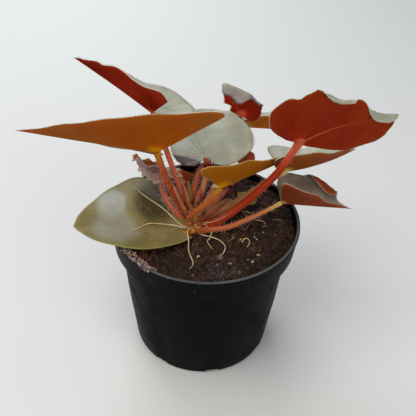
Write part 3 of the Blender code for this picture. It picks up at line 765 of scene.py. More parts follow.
@dataclass
class Finishes:
    """Every material of the object, made when it is first asked for, and the pieces that wear them."""
    groups: NodeGroups = field(default_factory=NodeGroups)
    made: dict[Enum, Material] = field(default_factory=dict)

    def of(self, kind: Enum) -> Material:
        """The material of a named finish."""
        if kind not in self.made:
            name = f"{type(kind).__name__}_{kind.name}".lower()
            self.made[kind] = kind.value.material(name, self.groups)
        return self.made[kind]

    def dress(self, name: str, bm: BMesh, slot: str, *kinds: Enum, nodes: Sequence[str] = (),
              sharp: float = NO_EDGE) -> Object:
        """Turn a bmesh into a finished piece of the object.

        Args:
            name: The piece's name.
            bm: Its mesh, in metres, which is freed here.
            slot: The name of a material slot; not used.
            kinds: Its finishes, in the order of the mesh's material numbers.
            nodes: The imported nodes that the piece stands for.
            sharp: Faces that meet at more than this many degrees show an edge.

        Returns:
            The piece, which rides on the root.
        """
        materials = [self.of(kind) for kind in kinds]
        mesh = bpy.data.meshes.new(name)
        bm.to_mesh(mesh)
        bm.free()
        mesh.shade_smooth()
        mesh.set_sharp_from_angle(angle=math.radians(sharp))
        for material in materials:
            mesh.materials.append(material)
        obj = bpy.data.objects.new(name, mesh)
        bpy.context.scene.collection.objects.link(obj)
        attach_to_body(obj, "root")
        if nodes:
            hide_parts(*nodes)
        LOG.info("%s: %d faces", name, len(mesh.polygons))
        return obj


# Leaves

EVERYWHERE = 200.0  # beyond the tip of any blade, in millimetres


@dataclass(frozen=True)
class Roll:
    """A stretch of margin that is rolled over: it turns by some degrees between two shares of the way out."""
    start: float
    stop: float
    degrees: float
    along_to: float


@lru_cache(maxsize=None)
def crease(line: tuple[Pair, ...]) -> tuple[tuple[float, float, float, float, float], ...]:
    """The short straight parts of a smooth crease: where each starts, which way it runs and how long it is."""
    path = smooth_through(line, CREASE_STEPS) if len(line) > 2 else [Vector(p) for p in line]
    parts = []
    for a, b in zip(path, path[1:]):
        way = (b - a).normalized()
        parts.append((a.x, a.y, way.x, way.y, (b - a).length))
    return tuple(parts)


@dataclass(frozen=True)
class Fold:
    """A stretch of blade that is folded back past a crease, up when its degrees are positive."""
    line: tuple[Pair, ...]
    degrees: float
    radius: float
    even: bool = True

    def bend(self, x: float, y: float) -> tuple[float, float, float, float] | None:
        """How a point of the flat half moves.

        Args:
            x: How far along the midrib the point lies.
            y: How far out from the midrib it lies.

        Returns:
            Its move along, out and up, and how far its normal has turned; nothing where the fold leaves it alone.
        """
        nearest, run, total, gap, out = math.inf, 0.0, 0.0, 0.0, (0.0, 0.0)
        for from_x, from_y, way_x, way_y, length in crease(self.line):
            here = min(max((x - from_x) * way_x + (y - from_y) * way_y, 0.0), length)
            off_x, off_y = x - from_x - here * way_x, y - from_y - here * way_y
            distance = math.hypot(off_x, off_y)
            if distance < nearest:
                nearest, run = distance, total + here
                out = (-way_y, way_x) if way_y < 0 else (way_y, -way_x)
                gap = (x - from_x) * out[0] + (y - from_y) * out[1]
            total += length
        if gap <= 0:
            return None
        radius = self.radius * (1.0 if self.even else CREASE_END + CREASE_SWELL * math.sin(math.pi * run / total))
        most = math.radians(abs(self.degrees))
        angle = min(gap / radius, most)
        rest = max(gap - radius * most, 0.0)
        forward = radius * math.sin(angle) + rest * math.cos(most) - gap
        lift = math.copysign(radius * (1 - math.cos(angle)) + rest * math.sin(most), self.degrees)
        return out[0] * forward, out[1] * forward, lift, math.copysign(angle, self.degrees)


@dataclass(frozen=True)
class Half:
    """One half of a blade: its slope at the midrib, its curl, and its margin from the tip to the lobe."""
    tilt: float
    margin: tuple[Pair, ...]
    curl: float = 0.0
    rolls: tuple[Roll, ...] = ()
    folds: tuple[Fold, ...] = ()


@dataclass(frozen=True)
class Patch:
    """A part of a half that takes the tint colour, as painted shade on the silver blade and as a real tint on
    young_top: it starts at a share of the way out, up to a place along.
    """
    side: int
    inner: float
    along_to: float = EVERYWHERE
    soft: float = 6.0


@dataclass(frozen=True)
class Spot:
    """A soft oval of painted light on the flat blade: it brings in the tint colour as a painted highlight or
    reflection, and the shade colour as painted shade where its share is below zero.
    """
    along: float
    across: float
    half_along: float
    half_across: float
    share: float


@dataclass(frozen=True)
class Leaf:
    """A blade's place, its midrib's length and shape, its two halves, its finishes, and its stalk.

    The lengths are in millimetres and the angles in degrees. A bow bends the midrib sideways, a sag bends it down, and
    a wave and a crumple lift the blade by so much. A leaf that isn't packed has no node of its own.
    """
    attach: Point
    heading: float
    rise: float
    length: float
    left: Half
    right: Half
    stalk: tuple[Point, ...]
    stalk_radii: Pair
    back: Back = Back.GOLD
    face: Face = Face.SILVER
    skin: Skin = Skin.PALE
    slot: str = "amber_underside"
    bow: float = 0.0
    sag: float = 0.0
    wave: float = 0.8
    crumple: float = 0.0
    relief: float = 1.0
    tooth: float = 0.45
    # The patches bring in the face's tint: painted shade on the silver blade, a real tint on young_top. The spots paint
    # highlights, reflections and shade.
    patches: tuple[Patch, ...] = ()
    spots: tuple[Spot, ...] = ()
    hairs: int = 0
    fringe: int = 0
    dark_fringe: bool = False
    packed: bool = True


LEAVES: dict[str, Leaf] = {
    "gold": Leaf(
        attach=(-30.5, 4, 142), heading=172, rise=2.3, length=88, wave=0.4,
        left=Half(74, ((72, 5.5), (58, 11.5), (33, 21), (9, 30), (-9, 35), (-25, 40), (-36, 42), (-39, 40), (-37, 37))),
        right=Half(-32, ((72, 4), (50, 9.5), (30, 16), (14, 20), (3, 19), (-2, 12)), curl=-18),
        stalk=((-11, -4.5, 99), (-17.5, -1, 108), (-24, 2, 122), (-27.5, 3, 132)),
        stalk_radii=(2.2, 1.9), skin=Skin.ORANGE, hairs=280),
    "red_back": Leaf(
        attach=(-34.3, 16, 162), heading=145, rise=14, length=65, sag=-0.9,
        left=Half(65, ((52, 8), (38, 15.2), (27, 22), (8, 26), (-3, 28.5), (-11, 31), (-16, 27))),
        right=Half(0, ((50, 8), (36, 13), (22, 18), (10, 24), (1, 27), (-9, 26), (-15, 22), (-13, 14))),
        stalk=((-9.5, 2, 99.5), (-16.5, 4.5, 116), (-23, 6.5, 135), (-29, 11, 151)),
        stalk_radii=(1.8, 1.5), back=Back.SCARLET, skin=Skin.PINK, slot="red_underside", hairs=520, fringe=160),
    "silver": Leaf(
        attach=(-1.4, 27.2, 124), heading=63, rise=25, length=38, relief=0.6,
        left=Half(-5, ((37, 10), (33, 19), (25, 29), (13, 33), (2, 29), (-5, 22), (-9, 12), (-8, 4)), curl=-14),
        right=Half(-5, ((36, 7), (34, 12), (30, 18), (24, 22), (17, 23.5), (8, 20), (0, 13), (-2, 6)), curl=-8),
        stalk=((-5, 1.5, 100), (-4, 8, 106.5), (-1.5, 16.5, 113.5), (-1, 23, 119)),
        stalk_radii=(1.8, 1.5), back=Back.AMBER, face=Face.PEARL, hairs=420, fringe=300, dark_fringe=True,
        # The patch paints shade on the lobe that rolls down at the lower left; the spot paints a highlight along the
        # middle of that roll.
        patches=(Patch(1, -0.5, -1.6, 3.2),), spots=(Spot(-5.6, 12, 1.2, 8, 0.75),)),
    "far": Leaf(
        attach=(25.6, 77, 118), heading=-13, rise=7, length=46,
        left=Half(25, ((40, 6), (26, 11), (17, 14), (8, 13.5), (-10, 13), (-25, 14), (-40, 12.5), (-44, 9), (-40, 5))),
        right=Half(65, ((40, 2), (31, 4.5), (23, 9), (19, 13), (12, 13.5), (3, 11), (-3, 6))),
        stalk=((-2.8, 5.5, 99.5), (4, 17, 106.5), (12, 38, 111), (20, 61, 115)),
        stalk_radii=(1.8, 1.6), back=Back.AMBER, hairs=420),
    "young_top": Leaf(
        attach=(20.6, 62.5, 136.8), heading=-168, rise=59, length=27, wave=0.6, tooth=0.7,
        left=Half(80, ((31.4, 7), (27.3, 11.7), (23.2, 16.7), (20, 19.2), (15.8, 18.8), (12.5, 16.4), (9.4, 16),
            (5.5, 17.2), (1.4, 16.8), (-3.4, 13.6), (-8.2, 9.5), (-8.9, 3.9), (-4.3, 0.9)), folds=(Fold(((26.4, 1),
            (23.3, 3.7), (18.7, 7.2), (13.3, 10.3), (8.6, 12.4), (4, 13.6), (0, 14.6)), -165, 1.2),)),
        right=Half(-80, ((21.4, 2.2), (17, 3.6), (12.9, 5.1), (9.2, 2.6), (6.1, 4.7), (2, 2.9), (-1, 1.5))),
        stalk=((-6.5, 7, 99.5), (-8, 11, 109), (-5, 24, 116), (1, 36, 117.5), (12, 52, 121), (19.5, 61, 128)),
        stalk_radii=(1.8, 1.3), back=Back.SCARLET, skin=Skin.PINK, slot="red_underside", hairs=560, fringe=150,
        patches=(Patch(1, 0.3), Patch(-1, 0))),
    "red_right": Leaf(
        attach=(53.6, 9, 150), heading=12, rise=13, length=59.4, bow=5.5,
        left=Half(-75, ((59.2, 5.4), (56, 10.3), (52, 14.2), (45, 18.4), (32, 18.6), (19, 13), (4, 4.5))),
        right=Half(75, ((61.2, 3.8), (60.8, 7.6), (57.2, 9.8), (54, 10.8), (51.4, 12.4), (48, 13.9), (44.8, 16),
            (40.4, 19.4), (37.6, 22.2), (35, 23.8), (33, 26), (29, 31), (24.2, 34.6), (19.5, 36.6), (15, 38.6),
            (12.7, 39.8), (8, 38.8), (5, 39), (1, 37.5), (-5, 40), (-13, 34), (-16, 29), (-16, 19), (-8, 6)),
            folds=(Fold(((40.2, 18.6), (44.3, 11.3), (50.4, 5.9), (60, 2.3)), -165, 0.9), Fold(((13.6, 37.8),
            (22.2, 30.6), (30.4, 24.8), (34.2, 23.2)), -165, 0.9))),
        stalk=((-3, -9.5, 98.5), (7, -10.5, 102.5), (22, -5.5, 113), (39, -1, 130.5), (46.5, 0.5, 142.8)),
        stalk_radii=(2.5, 2.2), back=Back.RED, skin=Skin.SCARLET, slot="red_underside", hairs=120),
    "amber_right": Leaf(
        attach=(49, 15, 124.8), heading=14, rise=15, length=46.4, sag=2.6,
        left=Half(0, ((38, 9), (27, 17), (14, 22), (4, 27), (-2, 29), (-4, 26), (-3, 15))),
        right=Half(65, ((40, 4.5), (34, 8), (21, 14.5), (8, 20), (-3, 21), (-7, 17), (-7, 10))),
        stalk=((-1.5, -4.5, 99), (10, -1, 104), (24, 4.5, 112), (39, 12, 119.5)),
        stalk_radii=(1.9, 1.6), back=Back.COPPER, skin=Skin.CREAM, hairs=420),
    "low_right": Leaf(
        attach=(46.3, -0.9, 112), heading=3, rise=-5, length=44.6,
        left=Half(20, ((40.7, 1.8), (37, 4.5), (36, 9), (38.5, 17), (36.5, 24.5), (29, 27), (20.5, 23), (16, 21.6),
            (12, 22.2), (5, 22.3), (0, 20), (-2, 14)), folds=(Fold(((15, 20), (34, 9.5)), 155, 3, even=False),)),
        right=Half(60, ((37, 3.5), (27, 8.5), (17, 16), (6, 24), (-3, 28), (-5, 24))),
        stalk=((-5, -13.5, 97.5), (12, -13, 100), (24, -10, 104), (37, -5, 108.5)),
        stalk_radii=(2.1, 1.15), back=Back.RUST, face=Face.GREY, skin=Skin.SALMON, hairs=160),
    "small_red": Leaf(
        attach=(24.6, 32, 113.6), heading=-120, rise=116, length=12, wave=0.4,
        left=Half(0, ((11.6, 2.4), (9, 4.4), (4, 4.8), (0, 4), (-2, 1))),
        right=Half(0, ((11.6, 2.4), (9, 5.4), (4, 6.4), (0, 5), (-2, 1))),
        stalk=((-2, 2, 99.5), (9, 15, 103), (19, 27, 108)),
        stalk_radii=(1, 0.8), back=Back.BRICK, skin=Skin.PINK, slot="red_underside", hairs=120, fringe=24,
        packed=False),
    "mustard": Leaf(
        attach=(8.6, -4.2, 124), heading=23, rise=15, length=47.9,
        left=Half(-30, ((40, 8), (26, 15), (12, 18), (2, 17), (-4, 11))),
        right=Half(70, ((43, 3.5), (36, 7), (16, 17.5), (-2, 26), (-8.5, 28.3), (-11, 27), (-10.2, 23.5))),
        stalk=((-11, -11.5, 100.5), (-7.2, -10.4, 108.6), (1.2, -7.4, 114.8)),
        stalk_radii=(1.9, 1.5), back=Back.MUSTARD, face=Face.YELLOW, skin=Skin.GOLDEN, hairs=90),
    "low_left": Leaf(
        attach=(-12.5, -19.5, 100), heading=-178, rise=3, length=67, sag=-1.2, relief=0.25, wave=0.3,
        left=Half(0, ((62, 5), (51, 12.4), (40, 16), (24, 17.6), (14, 15.4), (3, 9.5), (-5, 3))),
        right=Half(7, ((65, 9), (60, 19.4), (50, 35), (38, 49.4), (30, 52.8), (22, 48), (8, 27), (0, 10)), curl=-8.5),
        stalk=((-7, -9, 97), (-9.5, -15.5, 97.4)),
        # Painted light: the first two spots paint a broad pale reflection; the third paints shade near the crown, under
        # the gold blade.
        spots=(Spot(41, 0, 15, 14, 0.8), Spot(46, -22, 9, 13, 1), Spot(19, -27, 14, 22, -0.95)), stalk_radii=(1.6, 1.4),
        back=Back.WINE, face=Face.OLIVE, skin=Skin.GOLDEN),
    "crumpled": Leaf(
        attach=(-29.6, 18, 117), heading=142, rise=-7, length=21.5, wave=1.4, tooth=1.3, crumple=1.3,
        left=Half(-30, ((19, 1.4), (16.5, 4), (14.5, 3.4), (11.8, 5.8), (9.3, 5), (6, 7.2), (3, 6.4), (0, 7.6),
            (-3, 5.8), (-3.5, 2.6))),
        right=Half(35, ((24, 5), (19, 11), (11, 14), (3, 12.5), (-4, 9), (-5, 4)), rolls=(Roll(0.2, 0.55, 125, 26),)),
        stalk=((-12, -8, 98.5), (-20, -4.5, 105.5), (-25, 1, 109.5), (-28.5, 10, 112)),
        stalk_radii=(1.6, 1.3), back=Back.COPPER, face=Face.MAUVE, skin=Skin.PINK, hairs=420, fringe=120),
    "brown_young": Leaf(
        attach=(-16.2, 12, 115), heading=-95, rise=80, length=11, wave=0.4,
        left=Half(-8, ((10, 5), (8.5, 8.5), (4, 5.5), (0, 3), (-1.5, 1.5))),
        right=Half(-8, ((10, 5), (8.5, 8.5), (4, 5.5), (0, 3), (-1.5, 1.5))),
        stalk=((-9.5, 1, 99.5), (-12.5, 6, 104.5), (-15.2, 10.5, 110.5)),
        stalk_radii=(1.3, 1), back=Back.RUST, face=Face.BROWN, hairs=110),
    "lilac_young": Leaf(
        attach=(-17.5, 9.5, 124.5), heading=178, rise=8, length=9.5, wave=0.4, tooth=0.7,
        left=Half(-35, ((8.4, 1.8), (5, 3.8), (1, 4.2), (-2, 1.5))),
        right=Half(10, ((8.4, 1.6), (5, 3), (1, 3), (-2, 1.5))),
        stalk=((-9.5, 1, 100), (-13, 5, 111.5), (-16.5, 8.5, 120.5)),
        stalk_radii=(1.1, 0.8), back=Back.RUST, hairs=60, fringe=30, packed=False),
    "olive_young": Leaf(
        attach=(18.4, 16, 100.4), heading=-4, rise=2, length=14.5, wave=0.3,
        left=Half(8, ((13, 4), (8, 6.5), (2, 6), (-2, 3))),
        right=Half(8, ((13, 4), (8, 6), (2, 5), (-2, 3))),
        stalk=((-2, 3, 98.2), (9, 9.5, 98.9)),
        stalk_radii=(1.3, 1.1), back=Back.WINE, face=Face.LIME, skin=Skin.SALMON, hairs=30),
    "bud": Leaf(
        attach=(13, 13.5, 110), heading=-45, rise=-40, length=11, wave=0.3,
        left=Half(55, ((9, 2), (5, 4.5), (0, 4), (-2, 2.5))),
        right=Half(55, ((9, 2), (5, 4.5), (0, 4), (-2, 2.5))),
        stalk=((-3.5, -2, 99.5), (5, 3.5, 104.5)),
        stalk_radii=(1.6, 1.4), back=Back.WINE, face=Face.BRUISE, skin=Skin.SALMON, slot="red_underside", hairs=40),
}


# The grid of a blade: rows from vein to vein, columns from the midrib to the margin
REFINE = 8  # fine rows between two veins
COLUMNS = 16  # columns in a half
MIDRIB_STEP = 8.0  # between the feet of two veins
MIDRIB_ROWS = (4, 9)  # the fewest and the most veins of a half
MARGIN_STEPS = 10  # between two points of the margin
FAN_STEP = 9.0  # between the ends of two veins round the lobe
FAN_STEP_SHARE = 0.22  # or this share of the blade's length
VEIN_LEAN = 0.84  # how far a vein runs on along the blade as it runs out
BLADE_LAYERS = ("from_vein", "from_midrib", "out", "to_edge", "from_foot", "tint")

# The bends of a blade
BEND_STEPS = 14
CURL_WIDTH = 30.0  # the width over which a half curls by its whole curl
ROLL_RUN_OUT = 6.0
WAVE_WIDTH = 14.0  # a half narrower than this waves less
WAVE_TURN = 1.7  # the wave's turn from vein to vein, in radians
TINY = 1e-6

# The relief of a blade's upper side, in millimetres
BLADE_THICKNESS = 0.6
VEIN_SINK = 0.1  # how deep a vein lies
VEIN_BED = 0.9  # the half width of its bed
VEIN_FADE = 0.6  # how much less deep it is at the margin
MIDRIB_BED = 1.3
PUCKER = 0.1  # how far the blade bulges between two veins
PUCKER_FADE = 0.5
PUCKER_SPACING = 6.0  # between veins that bulge in full
CRUMPLE_WIDTHS = (3.4, 1.9)
CRUMPLE_FINE = 0.4
TOOTH_SPREAD = (0.4, 1.2)
TOOTH_WIDTH = 10.0  # a half narrower than this has smaller teeth
TINT_EDGE = 0.3  # the share of the way out over which a patch comes in
SPOT_REACH = 1.5  # a spot fades out at this multiple of its half sizes

# The hairs of a margin, in millimetres
FRINGE_SHARE = 0.94
FRINGE_SPREAD = 0.6
FRINGE_LENGTHS = (0.7, 1.8)
FRINGE_RADIUS = 0.06


def vein_end(margin: list[Vector], roots: list[float], station: float, turn: int) -> Vector:
    """Where the vein that leaves the midrib at a station meets the margin."""
    for index in range(turn):
        if roots[index] >= station >= roots[index + 1]:
            span = roots[index] - roots[index + 1]
            return margin[index].lerp(margin[index + 1], (roots[index] - station) / span if span > 1e-9 else 0.0)
    return margin[turn].copy()


class Blade:
    """The curved surface of one leaf, read by its row from the tip round to the lobe and its share outwards."""

    def __init__(self, name: str, leaf: Leaf) -> None:
        """Take the leaf's sizes and lay out its axes."""
        self.name = name
        self.leaf = leaf
        heading, rise = math.radians(leaf.heading), math.radians(leaf.rise)
        self.origin = Vector(leaf.attach)
        self.along = Vector((math.cos(rise) * math.cos(heading), math.cos(rise) * math.sin(heading), math.sin(rise)))
        self.across = Vector((-math.sin(heading), math.cos(heading), 0.0))
        self.up = self.along.cross(self.across)
        self.draw = Random(name)

    def half(self, side: int) -> Half:
        """The half on the left (side 1) or on the right (side -1)."""
        return self.leaf.left if side > 0 else self.leaf.right

    def rows(self, side: int) -> list[tuple[Vector, Vector]]:
        """Pairs of a midrib point and the margin point that its vein runs to, from the tip to the lobe."""
        tip = Vector((self.leaf.length, 0.0))
        margin = smooth_through([tip] + [Vector(p) for p in self.half(side).margin], MARGIN_STEPS)
        roots = [p.x - VEIN_LEAN * p.y for p in margin]
        turn = next((i for i, root in enumerate(roots) if root <= 0), len(margin) - 1)
        rows = [(tip, tip)]
        fewest, most = MIDRIB_ROWS
        steps = min(max(round(self.leaf.length / MIDRIB_STEP), fewest), most) * REFINE
        for step in range(1, steps + 1):
            reach = 1 - step / steps
            station = self.leaf.length * reach
            root = Vector((station, -side * self.leaf.bow * 4 * reach * (1 - reach)))
            rows.append((root, vein_end(margin, roots, station, turn)))
        fan = [rows[-1][1]] + margin[turn:]
        fan_step = min(FAN_STEP, FAN_STEP_SHARE * self.leaf.length)
        steps = round(length_of(fan) / fan_step) * REFINE if turn < len(margin) - 1 else 0
        rows += [(Vector((0.0, 0.0)), point_at(fan, (step + 1) / steps)) for step in range(steps)]
        return rows

    def slope(self, side: int, end: Vector, share: float) -> float:
        """How far the half has turned up from level, in radians, a share of the way out to a margin point."""
        half = self.half(side)
        degrees = half.tilt + half.curl * end.y * share / CURL_WIDTH
        for roll in half.rolls:
            inside = smoothstep((roll.along_to - end.x) / ROLL_RUN_OUT)
            degrees += roll.degrees * inside * smoothstep((share - roll.start) / (roll.stop - roll.start))
        return math.radians(degrees)

    def point(self, side: int, row: tuple[Vector, Vector], share: float, phase: float) -> tuple[Vector, Vector]:
        """The surface point a share of the way out along a row, at a phase of the wave, and its upward normal."""
        root, end = row
        along, across = root.lerp(end, share)
        step = across / BEND_STEPS
        level = height = 0.0
        for index in range(BEND_STEPS):
            angle = self.slope(side, end, share * (index + 0.5) / BEND_STEPS)
            level += math.cos(angle) * step
            height += math.sin(angle) * step
        angle = self.slope(side, end, share)
        normal = self.up * math.cos(angle) - self.across * (side * math.sin(angle))
        reach = min(max(along / self.leaf.length, 0.0), 1.0)
        height -= 4 * self.leaf.sag * reach * (1 - reach)
        place = self.origin + self.along * along + self.up * height + self.across * (side * level)
        moved = next((move for fold in self.half(side).folds if (move := fold.bend(along, across))), None)
        if moved:
            outward = self.up * math.sin(angle) + self.across * (side * math.cos(angle))
            line = self.along * moved[0] + outward * moved[1]
            place += line + normal * moved[2]
            if line.length > TINY:
                normal = normal * math.cos(moved[3]) + line.normalized() * math.sin(moved[3])
        lift = self.leaf.wave * min(end.y / WAVE_WIDTH, 1.0) * share ** 2 * math.sin(phase)
        return place + normal * lift, normal

    def phase(self, side: int, row: int) -> float:
        """The phase of the margin's wave at a row."""
        return side + row / REFINE * WAVE_TURN

    def tint(self, side: int, flat: Vector, share: float) -> float:
        """How much of the tint, or below zero of the shade, a point of the flat half takes, a share of the way out; on
        some blades this paints shade, highlights and reflections.
        """
        most = 0.0
        for patch in self.leaf.patches:
            if patch.side == side:
                inside = smoothstep((patch.along_to - flat.x) / patch.soft)
                most = max(most, inside * smoothstep((share - patch.inner) / TINT_EDGE + 0.5))
        for spot in self.leaf.spots:
            reach = math.hypot((flat.x - spot.along) / spot.half_along,
                               (side * flat.y - spot.across) / spot.half_across)
            most += (spot.share - most) * abs(spot.share) * smoothstep(SPOT_REACH - reach)
        return most

    def lay_half(self, bm: BMesh, side: int) -> None:
        """Lay one half into the mesh as a grid, with its relief and the layers that the finishes read."""
        rows = self.rows(side)
        layers = {name: bm.verts.layers.float[name] for name in BLADE_LAYERS}
        grid = bmesh.ops.create_grid(bm, x_segments=len(rows) - 1, y_segments=COLUMNS, size=1.0)["verts"]
        teeth = [self.leaf.tooth * (row % 2) * self.draw.uniform(*TOOTH_SPREAD) for row in range(len(rows))]
        places: dict[tuple[int, int], tuple[Vector, Vector]] = {}
        verts: dict[tuple[int, int], BMVert] = {}
        for vert in grid:
            row = round((vert.co.x + 1) / 2 * (len(rows) - 1))
            column = round((vert.co.y + 1) / 2 * COLUMNS)
            verts[row, column] = vert
            width = max((rows[row][1] - rows[row][0]).length, 0.1)
            share = column / COLUMNS
            if column == COLUMNS:
                share += teeth[row] * min(width / TOOTH_WIDTH, 1.0) / width
            places[row, column] = self.point(side, rows[row], share, self.phase(side, row))
        for (row, column), vert in verts.items():
            place, normal = places[row, column]
            before, after = places[max(row - 1, 0), column][0], places[min(row + 1, len(rows) - 1), column][0]
            spacing = (after - before).length / 2 * REFINE
            turn = row / REFINE
            from_vein = abs(turn - round(turn)) * spacing
            share = column / COLUMNS
            root, end = rows[row]
            flat = root.lerp(end, share)
            from_midrib = (end.y - root.y) * share
            bed = (math.exp(-(from_vein / VEIN_BED) ** 2) * (1 - VEIN_FADE * share)
                   + math.exp(-(from_midrib / MIDRIB_BED) ** 2))
            bulge = math.sin(math.pi * (turn % 1.0)) ** 2 * min(spacing / PUCKER_SPACING, 1.0) * smoothstep(share * 3)
            relief = PUCKER * bulge * (1 - PUCKER_FADE * share) - VEIN_SINK * min(bed, 1.0)
            wide, fine = (noise.noise(place / width) for width in CRUMPLE_WIDTHS)
            crumple = self.leaf.crumple * (wide + CRUMPLE_FINE * fine)
            vert.co = in_metres(place + normal * (relief * self.leaf.relief + crumple))
            for layer, value in (("from_vein", from_vein), ("from_midrib", from_midrib), ("out", share),
                                 ("to_edge", (1 - share) * (end - root).length),
                                 ("from_foot", math.hypot(flat.x, from_midrib)),
                                 ("tint", self.tint(side, flat, share))):
                vert[layers[layer]] = value
        if side < 0:
            bmesh.ops.reverse_faces(bm, faces=list({face for vert in grid for face in vert.link_faces}))

    def add_fringe(self, bm: BMesh, draw: Random) -> None:
        """Set the hairs of the margin, each pointing out along the blade."""
        for side in (1, -1):
            rows = self.rows(side)
            for _ in range(self.leaf.fringe):
                index = draw.randrange(REFINE, len(rows))
                phase = self.phase(side, index)
                edge, normal = self.point(side, rows[index], 1.0, phase)
                inner = self.point(side, rows[index], FRINGE_SHARE, phase)[0]
                way = (edge - inner).normalized() + normal * draw.uniform(-FRINGE_SPREAD, FRINGE_SPREAD)
                spike(bm, edge, way.normalized(), draw.uniform(*FRINGE_LENGTHS), FRINGE_RADIUS)

    def build(self, finishes: Finishes) -> Object:
        """Build the blade: both halves, joined at the midrib, with their thickness and two finishes."""
        bm = bmesh.new()
        for name in BLADE_LAYERS:
            bm.verts.layers.float.new(name)
        for side in (1, -1):
            self.lay_half(bm, side)
        bmesh.ops.remove_doubles(bm, verts=bm.verts, dist=BLADE_MERGE * MM)
        bmesh.ops.dissolve_degenerate(bm, edges=bm.edges, dist=BLADE_MERGE * MM)
        obj = finishes.dress("blade_" + self.name, bm, self.leaf.slot, self.leaf.back, self.leaf.face,
                             nodes=("leaf_" + self.name,) if self.leaf.packed else ())
        solid = thicken(obj, BLADE_THICKNESS)
        solid.thickness_clamp = 1.0
        solid.material_offset = solid.material_offset_rim = 1
        return obj


@dataclass
class Stalks:
    """The leaf stalks and their hairs."""
    finishes: Finishes
    sides: int = 16
    step: float = 1.6
    sharp: float = 40.0
    foot_swell: float = 0.16
    head_swell: float = 0.3
    foot_run_out: float = 5.0
    head_part: Pair = (0.93, 0.07)
    hair_part: Pair = (0.1, 0.98)
    hair_lean: Pair = (-0.3, 0.5)
    hair_length: float = 1.9
    hair_lengths: Pair = (0.5, 1.4)
    hair_radius: float = 0.07
    hair_sink: float = 0.1

    def radius_at(self, leaf: Leaf, share: float) -> float:
        """The radius a share of the way up: it tapers, and swells a little at both ends."""
        low, high = leaf.stalk_radii
        swell = (self.foot_swell * (1 - smoothstep(share * self.foot_run_out))
                 + self.head_swell * smoothstep((share - self.head_part[0]) / self.head_part[1]))
        return (low + (high - low) * share) * (1 + swell)

    def build(self) -> None:
        """Build one stalk for each leaf, and all their hairs as one piece."""
        hairs = bmesh.new()
        draw = Random("hairs")
        for name, leaf in LEAVES.items():
            bm = bmesh.new()
            path = even_path(list(leaf.stalk) + [leaf.attach], self.step)
            sweep(bm, path, lambda share, leaf=leaf: self.radius_at(leaf, share), self.sides, skin=True)
            self.finishes.dress("petiole_" + name, cleaned(bm), "stalk_skin", leaf.skin, sharp=self.sharp,
                                nodes=("stalk_" + name,) if leaf.packed else ())
            self.add_hairs(hairs, leaf, path, draw)
        self.finishes.dress("stalk_hairs", hairs, "stalk_skin", Ground.HAIR, sharp=self.sharp)

    def add_hairs(self, bm: BMesh, leaf: Leaf, path: list[Vector], draw: Random) -> None:
        """Set the hairs of one stalk, each standing out from it at random."""
        def one(batch: BMesh) -> None:
            """Add one hair."""
            share = draw.uniform(*self.hair_part)
            along = (point_at(path, min(share + 0.02, 1.0)) - point_at(path, share - 0.02)).normalized()
            way = scattered(draw, 1, 1, 1).cross(along).normalized()
            way = (way + along * draw.uniform(*self.hair_lean)).normalized()
            foot = point_at(path, share) + way * (self.radius_at(leaf, share) - self.hair_sink)
            spike(batch, foot, way, self.hair_length * draw.uniform(*self.hair_lengths), self.hair_radius)
        in_batches(bm, leaf.hairs, one)


